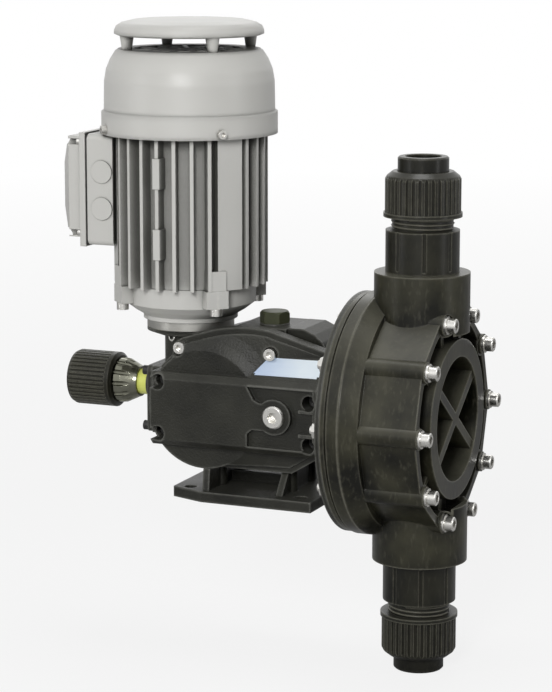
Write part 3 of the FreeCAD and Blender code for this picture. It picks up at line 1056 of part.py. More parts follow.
def make_cowl():
    low = FRAME_TOP_Z
    step = low + COWL_SKIRT_HEIGHT
    outer = [(COWL_SKIRT_RADIUS, low), (COWL_SKIRT_RADIUS, step), (COWL_SKIRT_RADIUS - 1.8, step + 1.2),
             (COWL_SKIRT_RADIUS - 2.2, COWL_TOP_Z - 22), (COWL_SKIRT_RADIUS - 3.6, COWL_TOP_Z - 14),
             (COWL_SKIRT_RADIUS - 6.5, COWL_TOP_Z - 7), (COWL_TOP_RADIUS + 2, COWL_TOP_Z - 1.5),
             (COWL_TOP_RADIUS, COWL_TOP_Z)]
    wall = COWL_WALL
    inner = [(COWL_GRILLE_RADIUS, COWL_TOP_Z), (COWL_GRILLE_RADIUS, COWL_TOP_Z - wall),
             (COWL_TOP_RADIUS + 0.5, COWL_TOP_Z - wall - 1), (COWL_SKIRT_RADIUS - 8, COWL_TOP_Z - 7.5),
             (COWL_SKIRT_RADIUS - 5.2, COWL_TOP_Z - 14.5), (COWL_SKIRT_RADIUS - 3.8, COWL_TOP_Z - 22),
             (COWL_SKIRT_RADIUS - 3.4, step), (COWL_SKIRT_RADIUS - wall, step - 1), (COWL_SKIRT_RADIUS - wall, low)]
    shell = lathe("z", MOTOR_CENTRE, outer + inner)
    spoke = block(MOTOR_X + 8, MOTOR_X + COWL_GRILLE_RADIUS + 2, -1.5, 1.5, COWL_TOP_Z - wall - 1, COWL_TOP_Z - 0.4)
    spokes = around(spoke, 12, MOTOR_CENTRE, "z")
    rings = [lathe("z", MOTOR_CENTRE, [(r, COWL_TOP_Z - wall - 1), (r + 2.5, COWL_TOP_Z - wall - 1),
                                       (r + 2.5, COWL_TOP_Z - 0.4), (r, COWL_TOP_Z - 0.4)]) for r in (8, 23)]
    holes = [rod(1.8 + SCREW_GAP, V(MOTOR_X, 0, low + 4), place)
             for place in diagonal_spots(COWL_SKIRT_RADIUS + 5, low + 4)]
    return shell.multiFuse(spokes + rings).cut(holes)


def make_cowl_screws():
    screws = []
    for place in diagonal_spots(COWL_SKIRT_RADIUS, FRAME_TOP_Z + 4):
        inward = V(MOTOR_X - place.x, -place.y, 0)
        screws.append(cap_screw(1.8, 1.5, place, inward))
    return screws


def make_canopy():
    low = CANOPY_Z
    top = low + CANOPY_HEIGHT
    dome = lathe("z", MOTOR_CENTRE, [(0, low), (CANOPY_RADIUS - 2.5, low), (CANOPY_RADIUS, low + 1),
                                     (CANOPY_RADIUS, low + 3.2), (CANOPY_RADIUS - 1.4, low + 6.4),
                                     (CANOPY_RADIUS - 5, low + 8.6), (CANOPY_RADIUS - 13, top - 1.2), (0, top)])
    posts = [Part.makeCone(POST_RADIUS - 0.5, POST_RADIUS + 1, CANOPY_GAP + 1, place)
             for place in diagonal_spots(POST_CIRCLE / 2, COWL_TOP_Z)]
    return dome.multiFuse(posts)


# Terminal box

def make_terminal_box():
    low = BOX_CENTRE_Z - BOX_HALF_Z
    high = BOX_CENTRE_Z + BOX_HALF_Z
    box = block(BOX_LID_X, SEAT_PAD_X + 7, -BOX_HALF_Y, BOX_HALF_Y, low, high)
    edges = [edge for edge in box.Edges if abs(edge.tangentAt(edge.FirstParameter).x) > 0.9]
    box = box.makeFillet(4, edges)
    saddle = rod(FRAME_RADIUS + SEAT_GAP, V(MOTOR_X, 0, low - 1), V(MOTOR_X, 0, high + 1))
    saddle = saddle.common(block(SEAT_PAD_X, MOTOR_X, -60, 60, low - 1, high + 1))
    seat = block(SEAT_PAD_X, MOTOR_X, -30.2, 30.2, low + 2.8, high - 2.8)
    room = block(BOX_LID_X - 1, SEAT_PAD_X - 2, -BOX_HALF_Y + 3, BOX_HALF_Y - 3, low + 3, high - 3)
    wires = block(SEAT_PAD_X - 3, SEAT_PAD_X + 1, -12, 12, BOX_CENTRE_Z - 14, BOX_CENTRE_Z + 14)
    neck = block(SEAT_PAD_X + 1.8, MOTOR_X, -8.2, 8.2, low - 1, low + 4)
    posts = [rod(5.5, V(BOX_LID_X, y, z), V(SEAT_PAD_X, y, z)) for y, z in lid_screw_spots()]
    threads = [rod(2.0, V(BOX_LID_X - 1, y, z), V(BOX_LID_X + 9, y, z)) for y, z in lid_screw_spots()]
    box = box.cut([room.cut(posts)]).cut([saddle, seat, wires, neck] + threads)
    discs = []
    for side in (-1, 1):
        for z in (BOX_CENTRE_Z - KNOCKOUT_SPACING / 2, BOX_CENTRE_Z + KNOCKOUT_SPACING / 2):
            discs.append(rod(KNOCKOUT_RADIUS, V(SEAT_PAD_X - 1.5, side * (BOX_HALF_Y - 1), z),
                             V(SEAT_PAD_X - 1.5, side * (BOX_HALF_Y + 1), z)))
    return box.multiFuse(discs)


def lid_screw_spots():
    for y in (-BOX_HALF_Y + 6, BOX_HALF_Y - 6):
        for z in (BOX_CENTRE_Z - BOX_HALF_Z + 8, BOX_CENTRE_Z + BOX_HALF_Z - 6):
            yield y, z


def make_box_gasket():
    low = BOX_CENTRE_Z - BOX_HALF_Z
    high = BOX_CENTRE_Z + BOX_HALF_Z
    sheet = block(BOX_LID_X - GASKET_THICK, BOX_LID_X, -BOX_HALF_Y, BOX_HALF_Y, low, high)
    room = block(BOX_LID_X - 3, BOX_LID_X + 1, -BOX_HALF_Y + 3, BOX_HALF_Y - 3, low + 3, high - 3)
    posts = [rod(5.5, V(BOX_LID_X - 3, y, z), V(BOX_LID_X + 1, y, z)) for y, z in lid_screw_spots()]
    shanks = [rod(2 + SCREW_GAP, V(BOX_LID_X - 3, y, z), V(BOX_LID_X + 1, y, z)) for y, z in lid_screw_spots()]
    return sheet.cut(room.cut(posts)).cut(shanks)


def rectangle(x, half_y, low, high):
    corners = [V(x, -half_y, low), V(x, half_y, low), V(x, half_y, high), V(x, -half_y, high)]
    return Part.makePolygon(corners + corners[:1])


def make_box_lid():
    start = BOX_LID_X - GASKET_THICK
    low = BOX_CENTRE_Z - BOX_HALF_Z
    high = BOX_CENTRE_Z + BOX_HALF_Z
    flange = block(start - LID_FLANGE, start, -BOX_HALF_Y - 1, BOX_HALF_Y + 1, low - 1, high + 1)
    shoulder = start - LID_DEPTH + 12
    end = start - LID_DEPTH
    step = block(shoulder, start - LID_FLANGE + 1, -BOX_HALF_Y + 3, BOX_HALF_Y - 3, low + 5, high - 2)
    crown = Part.makeLoft([rectangle(shoulder, BOX_HALF_Y - 3, low + 5, high - 2),
                           rectangle(end, BOX_HALF_Y - 20, low + 24, high - 23)], True, True)
    room = block(shoulder + 3, start + 1, -BOX_HALF_Y + 6, BOX_HALF_Y - 6, low + 8, high - 8)
    posts = [rod(5.5, V(shoulder, y, z), V(start, y, z)) for y, z in lid_screw_spots()]
    wells = [rod(3.6, V(end - 1, y, z), V(start - LID_FLANGE, y, z)) for y, z in lid_screw_spots()]
    shanks = [rod(2 + SCREW_GAP, V(end - 1, y, z), V(start + 1, y, z)) for y, z in lid_screw_spots()]
    return flange.multiFuse([step, crown]).cut(room.cut(posts)).cut(wells + shanks)


def make_lid_screws():
    seat = BOX_LID_X - GASKET_THICK - LID_FLANGE
    reach = LID_FLANGE + GASKET_THICK + 8
    return [cap_screw(2.0, reach, V(seat, y, z), V(1, 0, 0)) for y, z in lid_screw_spots()]


def make_terminal_block():
    base = block(SEAT_PAD_X - 9, SEAT_PAD_X - 2, -16, 16, BOX_CENTRE_Z - 26, BOX_CENTRE_Z - 15)
    studs = [rod(1.6, V(SEAT_PAD_X - 11.5, y, BOX_CENTRE_Z - 20.5), V(SEAT_PAD_X - 8.5, y, BOX_CENTRE_Z - 20.5))
             for y in (-10, 0, 10)]
    return base.multiFuse(studs)


# All nodes

def make_all():
    bolts, washers, nuts = make_head_fasteners()
    nodes = {
        "foot": make_foot(),
        "foot_screws": make_foot_screws(),
        "gearbox_housing": make_housing(),
        "side_cover": make_side_cover(),
        "cover_gasket": make_cover_gasket(),
        "side_cover_screws": make_cover_screws(),
        "level_plug": make_level_plug(),
        "filler_plug": make_filler_plug(),
        "rear_cover": make_rear_cover(),
        "rear_cover_screws": make_rear_screws(),
        "index_ring": make_index_ring(),
        "cone_sleeve": make_cone_sleeve(),
        "stroke_knob": make_knob(),
        "stroke_spindle": make_spindle(),
        "worm": make_worm(),
        "worm_wheel": make_worm_wheel(),
        "cam_shaft": make_cam_shaft(),
        "cam_shaft_bearings": make_shaft_bearings(),
        "push_yoke": make_yoke(),
        "push_rod": make_push_rod(),
        "rod_bush": make_rod_bush(),
        "rod_seal": make_rod_seal(),
        "return_spring": make_spring(),
        "diaphragm_disc": make_backing_disc(),
        "diaphragm": make_diaphragm(),
        "backing_plate": make_backing_plate(),
        "pump_head": make_pump_head(),
        "head_bolts": bolts,
        "head_washers": washers,
        "head_nuts": nuts,
        "adapter_collar": make_adapter_collar(),
        "drive_end_shield": make_drive_shield(),
        "shield_bolts": make_shield_bolts(),
        "motor_frame": make_motor_frame(),
        "fan_end_shield": make_fan_shield(),
        "motor_bearings": make_motor_bearings(),
        "stator": make_stator(),
        "motor_shaft": make_motor_shaft(),
        "rotor": make_rotor(),
        "cooling_fan": make_fan(),
        "fan_cowl": make_cowl(),
        "cowl_screws": make_cowl_screws(),
        "rain_canopy": make_canopy(),
        "terminal_box": make_terminal_box(),
        "box_gasket": make_box_gasket(),
        "box_lid": make_box_lid(),
        "lid_screws": make_lid_screws(),
        "terminal_block": make_terminal_block(),
    }
    for name, side in (("suction", -1), ("discharge", 1)):
        nodes[name + "_valve_body"] = make_valve_body(side)
        nodes[name + "_valve_seat"] = make_valve_seat(side)
        nodes[name + "_valve_ball"] = make_valve_ball(side)
        nodes[name + "_socket_seal"] = make_socket_seal(side)
        nodes[name + "_union_nut"] = make_union_nut(side)
        nodes[name + "_pipe_socket"] = make_socket(side)
    return nodes


def main():
    os.makedirs("parts", exist_ok=True)
    for name, made in make_all().items():
        shape = Part.makeCompound(made) if isinstance(made, list) else made
        count = len(shape.Solids)
        expected = len(made) if isinstance(made, list) else 1
        state = "" if count == expected and shape.isValid() else "  CHECK"
        print(f"{name}: {count} solid(s), {shape.Volume / 1000:.1f} cm3{state}")
        shape.exportStep(f"parts/{name}.step")


main()
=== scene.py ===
# %% [markdown]
# # A diaphragm metering pump, dressed for a photograph
# The shapes come from a CAD frame: every piece is already in place, in metres, with +X towards the pump head,
# +Y to the back and +Z up. This lesson gives each piece its real finish, adds the small things that are easier
# to make in Blender than in CAD, and lights the pump like a catalogue picture.

# %% Load the frame
import bpy
import bmesh
import json
import math
from mathutils import Matrix, Vector


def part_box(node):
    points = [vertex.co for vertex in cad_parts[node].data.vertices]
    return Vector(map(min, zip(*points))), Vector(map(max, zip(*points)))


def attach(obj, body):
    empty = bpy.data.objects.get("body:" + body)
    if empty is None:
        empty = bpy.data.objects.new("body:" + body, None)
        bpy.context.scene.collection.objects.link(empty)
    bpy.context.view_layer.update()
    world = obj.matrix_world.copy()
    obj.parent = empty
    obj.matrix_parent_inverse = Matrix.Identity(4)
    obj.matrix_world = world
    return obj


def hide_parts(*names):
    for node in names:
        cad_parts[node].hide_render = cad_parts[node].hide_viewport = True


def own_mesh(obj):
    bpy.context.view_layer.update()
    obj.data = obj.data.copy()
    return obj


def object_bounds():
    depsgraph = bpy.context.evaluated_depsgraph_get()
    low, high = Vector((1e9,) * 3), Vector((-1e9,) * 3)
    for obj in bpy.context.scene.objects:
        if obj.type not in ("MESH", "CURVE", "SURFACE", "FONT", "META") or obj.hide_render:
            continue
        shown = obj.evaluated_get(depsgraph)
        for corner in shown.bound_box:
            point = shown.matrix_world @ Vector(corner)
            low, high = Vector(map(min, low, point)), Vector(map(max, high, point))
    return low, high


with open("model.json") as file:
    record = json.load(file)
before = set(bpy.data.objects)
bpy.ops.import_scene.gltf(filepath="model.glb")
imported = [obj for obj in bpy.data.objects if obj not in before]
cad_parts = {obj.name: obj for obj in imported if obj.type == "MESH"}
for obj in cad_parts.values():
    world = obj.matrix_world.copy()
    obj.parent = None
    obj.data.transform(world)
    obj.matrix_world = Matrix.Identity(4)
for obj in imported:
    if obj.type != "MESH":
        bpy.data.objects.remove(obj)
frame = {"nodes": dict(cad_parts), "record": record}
cad_low, cad_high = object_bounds()
nodes = frame["nodes"]
scene = bpy.context.scene
MM = 0.001
print(len(nodes), "pieces in the frame, size", [round(s, 3) for s in cad_high - cad_low])

# %% [markdown]
# ## The camera
# The picture was taken from the pump's left front, a little above it, with a long lens. A long lens keeps the
# motor's sides nearly upright, so the view angle matters more than the distance.

# %% Camera
TURN, PITCH = math.radians(22.97), math.radians(10.44)
FOCUS_PIXELS, LONG_SIDE = 2585.3, 692
camera_data = bpy.data.cameras.new("camera")
camera_data.sensor_width = 36.0
camera_data.lens = camera_data.sensor_width * FOCUS_PIXELS / LONG_SIDE
camera_data.clip_start, camera_data.clip_end = 0.1, 200.0
camera = bpy.data.objects.new("camera", camera_data)
ahead = Vector((-math.sin(TURN) * math.cos(PITCH), math.cos(TURN) * math.cos(PITCH), -math.sin(PITCH)))
camera.location = (0.7072, -1.6476, 0.4359)
camera.rotation_mode = "QUATERNION"
camera.rotation_quaternion = ahead.to_track_quat("-Z", "Y")
scene.collection.objects.link(camera)
scene.camera = camera
print("lens", round(camera_data.lens, 1), "mm")

# %% [markdown]
# ## Soft studio light
# A catalogue picture has one large soft lamp near the camera and others at the sides. The lamps are set to a
# plain level, at which a painted face turned to the camera shows about the colour that its material is given.
# Area lamps are used because their shape shows in gloss: the two tall strips draw the upright streaks that the
# photograph has on the round valves, the square one overhead lights every edge that looks up, and a weak one
# behind keeps the far side from going dark when the part is turned.

# %% Lamps
scene.view_settings.view_transform = "Standard"
LIT_POINT = Vector((0.0, 0.0, 0.1))


def lamp(name, place, size, power):
    """A rectangular lamp of a size in metres and a power in watts, turned to the middle of the pump."""
    data = bpy.data.lights.new(name, "AREA")
    data.shape = "RECTANGLE"
    data.size, data.size_y = size
    data.energy = power
    thing = bpy.data.objects.new(name, data)
    thing.location = place
    thing.rotation_mode = "QUATERNION"
    thing.rotation_quaternion = (LIT_POINT - Vector(place)).to_track_quat("-Z", "Y")
    scene.collection.objects.link(thing)
    return thing


lamps = [
    lamp("front_softbox", (0.45, -2.1, 1.0), (0.5, 0.7), 30),
    lamp("left_strip", (-1.5, -1.5, 0.5), (0.14, 1.6), 7),
    lamp("right_strip", (2.1, -0.1, 0.5), (0.14, 1.6), 7),
    lamp("top_softbox", (0.0, 0.1, 1.7), (0.6, 0.6), 8),
    lamp("back_softbox", (-0.9, 1.9, 1.3), (0.9, 0.6), 3),
]
print(len(lamps), "soft lamps")

# %% [markdown]
# ## Shader maths as plain arithmetic
# A procedural finish is a small calculation: noise makes a mask, the mask mixes two colours. Building it from
# loose node calls hides that calculation, so a `Wire` wraps one socket and lets Python's own operators add the
# Math nodes. `Graph` is a tree of nodes being made, with one method that adds any other node.

# %% Wires


class Wire:
    """A shader socket that can be used in plain arithmetic."""

    def __init__(self, tree, socket):
        self.tree, self.socket = tree, socket

    def math(self, operation, *others):
        node = self.tree.nodes.new("ShaderNodeMath")
        node.operation = operation
        for place, value in zip(node.inputs, (self, *others)):
            if isinstance(value, Wire):
                self.tree.links.new(value.socket, place)
            else:
                place.default_value = value
        return Wire(self.tree, node.outputs[0])

    def __add__(self, other):
        return self.math("ADD", other)

    def __mul__(self, other):
        return self.math("MULTIPLY", other)

    def __sub__(self, other):
        return self.math("SUBTRACT", other)

    def __rsub__(self, other):
        return self.math("MULTIPLY", -1.0).math("ADD", other)

    __radd__ = __add__
    __rmul__ = __mul__


class Graph:
    """A shader tree being built."""

    def __init__(self, tree):
        self.tree = tree

    def node(self, kind, output=0, sockets=None, **settings):
        """Adds any node but a Math node: first its settings, then the values or links of its sockets."""
        made = self.tree.nodes.new("ShaderNode" + kind)
        for key, value in settings.items():
            setattr(made, key, value)
        for key, value in (sockets or {}).items():
            if isinstance(value, Wire):
                self.tree.links.new(value.socket, made.inputs[key])
            else:
                made.inputs[key].default_value = value
        return Wire(self.tree, made.outputs[output])


def shade(red, green, blue):
    return (red, green, blue, 1.0)


print("wires and graphs ready")

# %% [markdown]
# ## What every finish is made of
# A finish starts from a few masks: noise for clouds and grain, a short look into the solid for edges that are
# painted paler, as wear and in places as a painted highlight, a longer look outwards for hollows that are painted
# darker, in places as dust and in places as a painted shade, and the upward direction for tops painted paler, a
# painted highlight. `Finish` is a material being made, and each of its methods adds one of these.

# %% Finishes


class Finish(Graph):
    """A material under construction. Fixed values go straight onto the shader's own sockets."""

    def __init__(self, name, **fixed):
        self.material = bpy.data.materials.new(name)
        self.material.use_nodes = True
        super().__init__(self.material.node_tree)
        self.shader = self.tree.nodes["Principled BSDF"]
        for key, value in fixed.items():
            self.shader.inputs[key.replace("_", " ")].default_value = value
        self.place = self.node("TexCoord", "Object")

    def speckle(self, size, detail=3.0, stretch=(1.0, 1.0, 1.0)):
        """Noise from 0 to 1 whose blobs are about `size` metres, stretched by scaling the place."""
        place = self.place
        if stretch != (1.0, 1.0, 1.0):
            place = self.node("Mapping", 0, {"Vector": place, "Scale": stretch})
        return self.node("TexNoise", "Fac", {"Vector": place, "Scale": 1.0 / size, "Detail": detail})

    def between(self, mask, low, high):
        """Stretches the part of a mask between low and high to 0..1 and clips the rest."""
        return self.node("MapRange", 0, {"Value": mask, "From Min": low, "From Max": high})

    def mix(self, mask, under, over):
        """The colour under where the mask is 0, over where it is 1."""
        return self.node("Mix", 2, {0: mask, 6: under, 7: over}, data_type="RGBA")

    def edges(self, reach):
        """1 on outer edges, 0 on flat faces: looks a short way into the solid from each point."""
        inside = {"Distance": reach}
        return 1 - self.node("AmbientOcclusion", "AO", inside, inside=True, only_local=True, samples=6)

    def hollows(self, reach):
        """1 down in corners and grooves, 0 on open faces."""
        return 1 - self.node("AmbientOcclusion", "AO", {"Distance": reach}, samples=6)

    def upward(self, low, high):
        """1 on faces that look up, 0 on upright ones. Finishes use it to paint tops paler, a painted highlight of
        the light from above.
        """
        return self.between(self.node("SeparateXYZ", 2, {0: self.node("NewGeometry", "Normal")}), low, high)

    def rounded(self, radius):
        """A normal that turns softly over each sharp edge, as a cast or moulded edge does."""
        return self.node("Bevel", 0, {"Radius": radius}, samples=4)

    def bump(self, height, depth, normal=None):
        """A normal bent by a height from 0 to 1 that stands for a relief of `depth` metres."""
        sockets = {"Height": height, "Distance": depth, "Strength": 1.0}
        if normal is not None:
            sockets["Normal"] = normal
        return self.node("Bump", 0, sockets)

    def feed(self, **wires):
        """Links each wire to the shader input of its name and gives the finished material."""
        for key, value in wires.items():
            self.tree.links.new(value.socket, self.shader.inputs[key.replace("_", " ")])
        return self.material


finishes = {}
print("finish builder ready")

# %% [markdown]
# ## A white room that does not wash out the pump
# The photograph is a cut-out on white. Lighting a floor until it burns out would also bleach the pump, so the
# floor stays an ordinary pale surface for light and only the camera and reflections see it nearly white. Its
# share of plain white grows with distance, so that there is no horizon, and near the pump it keeps the shadow.

# %% Floor and world
FLOOR_BELOW = 0.0006
FLOOR_SIZE = 120.0
SHADOW_KEPT = 0.16

floor_finish = Finish("studio_floor", Roughness=0.9)
distance = floor_finish.node("VectorMath", "Value", {0: floor_finish.place}, operation="LENGTH")
far = floor_finish.between(distance, 0.5, 3.0)
white_share = (1 - SHADOW_KEPT) + far * SHADOW_KEPT
mirrored_share = floor_finish.between(distance, 1.5, 5.0)
seen_white = floor_finish.node("LightPath", "Is Camera Ray") * white_share
seen_white = seen_white + floor_finish.node("LightPath", "Is Glossy Ray") * mirrored_share
seen_white = seen_white + floor_finish.node("LightPath", "Is Transmission Ray") * mirrored_share
grain = floor_finish.speckle(0.004)
floor_finish.feed(Base_Color=floor_finish.mix(grain, shade(0.62, 0.62, 0.62), shade(0.68, 0.68, 0.68)))
plain_white = floor_finish.node("Emission", 0, {"Color": shade(1, 1, 1), "Strength": 1.0})
lit = Wire(floor_finish.tree, floor_finish.shader.outputs[0])
blend = floor_finish.node("MixShader", 0, {0: seen_white, 1: lit, 2: plain_white})
floor_finish.tree.links.new(blend.socket, floor_finish.tree.nodes["Material Output"].inputs["Surface"])

floor_mesh = bpy.data.meshes.new("studio_floor")
half = FLOOR_SIZE / 2
level = cad_low.z - FLOOR_BELOW
floor_mesh.from_pydata([(-half, -half, level), (half, -half, level), (half, half, level), (-half, half, level)],
                       [], [(0, 1, 2, 3)])
floor = bpy.data.objects.new("studio_floor", floor_mesh)
floor_mesh.materials.append(floor_finish.material)
scene.collection.objects.link(floor)
print("floor at", round(level, 4), "m")

# %% [markdown]
# ## A white sky that gives little light
# The same split serves the world: the camera, gloss and glass see plain white, while its light on the pump is a
# weak grey fill, so that the shadows between the fins and behind the head stay deep.

# %% The sky of the studio
WORLD_AMBIENT = 0.1
world = bpy.data.worlds.new("studio")
scene.world = world
world.use_nodes = True
world.node_tree.nodes.clear()
sky = Graph(world.node_tree)
seen = sky.node("LightPath", "Is Camera Ray").math("MAXIMUM", sky.node("LightPath", "Is Glossy Ray"))
seen = seen.math("MAXIMUM", sky.node("LightPath", "Is Transmission Ray"))
fill = sky.node("Background", 0, {"Color": shade(1, 1, 1), "Strength": WORLD_AMBIENT})
bright = sky.node("Background", 0, {"Color": shade(1, 1, 1), "Strength": 1.0})
room = sky.node("MixShader", 0, {0: seen, 1: fill, 2: bright})
sky.tree.links.new(room.socket, sky.tree.nodes.new("ShaderNodeOutputWorld").inputs["Surface"])
print("world ambient", WORLD_AMBIENT)

# %% [markdown]
# ## The motor's grey paint
# The motor, its shields, cowl, canopy and terminal box are die-cast or pressed metal sprayed in one light warm
# grey. Sprayed paint has a faint orange-peel skin, dust gathers between the fins, and the colour turns slightly
# yellow where it is thin on the edges. The gaps between the fins are painted nearly black, partly as that dust
# and partly as a painted shade.

# %% Motor paint


def grey_paint(name, rounding):
    """Light grey spray paint. Rounding is how softly its metal turns over an edge."""
    paint = Finish(name, Coat_Roughness=0.25, Specular_IOR_Level=0.45)
    clouds = paint.speckle(0.06, 2.0)
    # Down between the fins the colour goes nearly black: partly dust, partly a painted shade.
    dust_and_shade = paint.between(paint.hollows(18 * MM), 0.25, 0.62)
    worn = paint.between(paint.edges(1.2 * MM) * paint.speckle(0.003), 0.22, 0.5)
    tone = paint.mix(clouds, shade(0.59, 0.585, 0.56), shade(0.55, 0.545, 0.515))
    tone = paint.mix(dust_and_shade * 0.92, tone, shade(0.05, 0.05, 0.042))
    tone = paint.mix(worn * 0.7, tone, shade(0.72, 0.71, 0.67))
    peel = paint.speckle(0.0011, 2.0) + paint.speckle(0.006, 1.0) * 0.5
    return paint.feed(Base_Color=tone, Roughness=0.33 + clouds * 0.1 + dust_and_shade * 0.12,
                      Normal=paint.bump(peel, 0.04 * MM, paint.rounded(rounding)))


finishes["motor_paint"] = grey_paint("motor_paint", 0.8 * MM)
pressed_paint = grey_paint("pressed_paint", 5.0 * MM)
print("motor paint on castings and on pressed sheet")

# %% [markdown]
# ## Black paint on the gearbox castings
# The gearbox housing, its covers and its foot are sand castings under a charcoal coat. The sand leaves small
# pits, the coat is thicker in the corners, and outer edges are painted paler, partly as rubbed paint and partly as a
# painted highlight. Faces that look up are painted paler too, a painted highlight of the light from above. Noise at
# two sizes makes the skin of the casting, and a look a little way into the solid finds the edges.

# %% Housing black
coat = Finish("housing_black", Specular_IOR_Level=0.26)
sand = coat.speckle(0.0014, 4.0)
patches = coat.speckle(0.035, 3.0)
rubbed_and_lit_edges = coat.between(coat.edges(1.8 * MM) * (0.5 + coat.speckle(0.004)), 0.1, 0.5)
tone = coat.mix(coat.between(patches, 0.3, 0.7), shade(0.007, 0.007, 0.005), shade(0.026, 0.026, 0.02))
# Faces that look up are painted paler, a painted highlight of the light from above.
tone = coat.mix(coat.upward(0.25, 0.9) * (0.1 + patches * 0.5), tone, shade(0.095, 0.095, 0.082))
# Outer edges are painted paler, partly rubbed paint and partly a painted highlight.
tone = coat.mix(rubbed_and_lit_edges * 0.8, tone, shade(0.14, 0.14, 0.125))
pits = coat.between(sand, 0.3, 0.6)
finishes["housing_black"] = coat.feed(
    Base_Color=tone,
    Roughness=0.34 + patches * 0.14 - rubbed_and_lit_edges * 0.08,
    Normal=coat.bump(pits + coat.speckle(0.009, 2.0), 0.11 * MM, coat.rounded(1.2 * MM)))
print("housing black")

# %% [markdown]
# ## Moulded black plastic
# The head, the valves, the union nuts and the knob are glass-filled plastic. It is not neutral black: in the
# photograph it has olive-brown clouds where the glass fibres come near the surface, and its satin skin shows
# soft highlights along every moulded edge. Those edges are also painted paler, partly as wear and partly as a
# painted highlight, faces that look up are painted paler, a painted highlight, and deep pockets are painted nearly
# black, a painted shade. The head is a lit copy of the same plastic: more gain paints it paler than the valves, a
# painted light where more light falls on it.

# %% Black plastic


def moulded_plastic(name, gain):
    """Black glass-filled plastic. Gain is how much paler its clouds, fibres and tops are; a higher gain paints a lit
    copy, a painted light.
    """
    moulded = Finish(name, Specular_IOR_Level=0.22, Coat_Roughness=0.25)

    def olive(red, green, blue):
        return shade(red * gain, green * gain, blue * gain)

    clouds = moulded.speckle(0.03, 4.0)
    fibres = moulded.speckle(0.0025, 3.0, (1.0, 1.0, 0.3))
    worn_and_lit_edges = moulded.between(moulded.edges(1.4 * MM) * (0.5 + moulded.speckle(0.003)), 0.1, 0.5)
    tone = moulded.mix(moulded.between(clouds, 0.35, 0.7), shade(0.006, 0.006, 0.004), olive(0.024, 0.023, 0.014))
    tone = moulded.mix(moulded.between(fibres, 0.55, 0.8) * 0.4, tone, olive(0.06, 0.057, 0.042))
    # Faces that look up are painted paler, a painted highlight of the light from above.
    tone = moulded.mix(moulded.upward(0.2, 0.9) * (0.2 + clouds * 0.6), tone, olive(0.085, 0.083, 0.065))
    # Edges are painted paler: partly worn, partly a painted highlight.
    tone = moulded.mix(worn_and_lit_edges * 0.8, tone, shade(0.17, 0.165, 0.13))
    # Deep pockets are painted nearly black, a painted shade.
    pocket_shade = moulded.between(moulded.hollows(22 * MM), 0.45, 0.85)
    tone = moulded.mix(pocket_shade * 0.8, tone, shade(0.003, 0.003, 0.002))
    return moulded.feed(
        Base_Color=tone,
        Roughness=0.24 + clouds * 0.16 + pocket_shade * 0.25,
        Coat_Weight=clouds * 0.1,
        Normal=moulded.bump(fibres + moulded.speckle(0.008, 1.0), 0.05 * MM, moulded.rounded(0.9 * MM)))


finishes["black_plastic"] = moulded_plastic("black_plastic", 0.75)
# The head is a lit copy of the same plastic: its higher gain paints it paler, a painted light.
lit_head_plastic = moulded_plastic("lit_head_plastic", 1.6)
print("black plastic")

# %% [markdown]
# ## Plain steel
# The bolts are stainless and slightly dull from the forming die, and darker down in their sockets.

# %% Bright steel
STEEL_PALE, STEEL_GREY = shade(0.7, 0.69, 0.66), shade(0.56, 0.55, 0.52)
stainless = Finish("bright_steel", Metallic=1.0)
smears = stainless.speckle(0.004, 3.0)
socket_hollows = stainless.between(stainless.hollows(1.5 * MM), 0.3, 0.9)
tone = stainless.mix(smears, STEEL_PALE, STEEL_GREY)
# Darker down in the sockets and hollows.
tone = stainless.mix(socket_hollows * 0.6, tone, shade(0.2, 0.18, 0.15))
finishes["bright_steel"] = stainless.feed(
    Base_Color=tone,
    Roughness=0.2 + smears * 0.18 + socket_hollows * 0.2,
    Normal=stainless.bump(stainless.speckle(0.0012), 0.03 * MM, stainless.rounded(0.3 * MM)))
print("bright steel")

# %% [markdown]
# ## Cover screws, bright above and black below
# The screws along the top of the gearbox covers are bright in the photograph and those lower down are dark. They
# are one set of pieces in CAD, so one finish turns from steel to dark by height.

# %% Cover screws
LOW_SCREWS_TOP = 0.09
CHANGE_OVER = 0.002
darkened = Finish("cover_screws")
smears = darkened.speckle(0.003, 3.0)
height = darkened.node("SeparateXYZ", 2, {0: darkened.place})
# Below this height the screws turn dark.
dark_below = 1 - darkened.between(height, LOW_SCREWS_TOP, LOW_SCREWS_TOP + CHANGE_OVER)
bare = darkened.mix(smears, STEEL_PALE, STEEL_GREY)
black = darkened.mix(smears, shade(0.04, 0.04, 0.038), shade(0.018, 0.018, 0.017))
cover_screw_finish = darkened.feed(
    Base_Color=darkened.mix(dark_below, bare, black),
    Metallic=1 - dark_below * 0.6,
    Roughness=0.22 + smears * 0.18,
    Normal=darkened.bump(darkened.speckle(0.0012), 0.03 * MM, darkened.rounded(0.3 * MM)))
print("cover screws, bright above and blackened below")

# %% [markdown]
# ## Turned steel
# The shafts, the collar and the bearings are turned, which leaves fine rings round their axis. The noise is
# squeezed in the two directions across the axis, so that it becomes rings, and each axis has its own finish.

# %% Turned steel
TOOL_GROOVE = 0.8 * MM
ACROSS_SQUEEZE = 0.02


def turned(name, axis):
    """Turned steel whose rings run round the given axis, 0 to 2 for X to Z."""
    steel = Finish(name, Metallic=1.0)
    squeeze = tuple(1.0 if place == axis else ACROSS_SQUEEZE for place in range(3))
    rings = steel.speckle(TOOL_GROOVE, 3.0, squeeze)
    stain = steel.speckle(0.015, 3.0)
    tone = steel.mix(rings, shade(0.46, 0.455, 0.43), shade(0.34, 0.335, 0.31))
    tone = steel.mix(steel.between(stain, 0.5, 0.8) * 0.35, tone, shade(0.3, 0.27, 0.22))
    return steel.feed(Base_Color=tone, Roughness=0.22 + rings * 0.16 + stain * 0.1,
                      Normal=steel.bump(rings, 0.03 * MM, steel.rounded(0.3 * MM)))


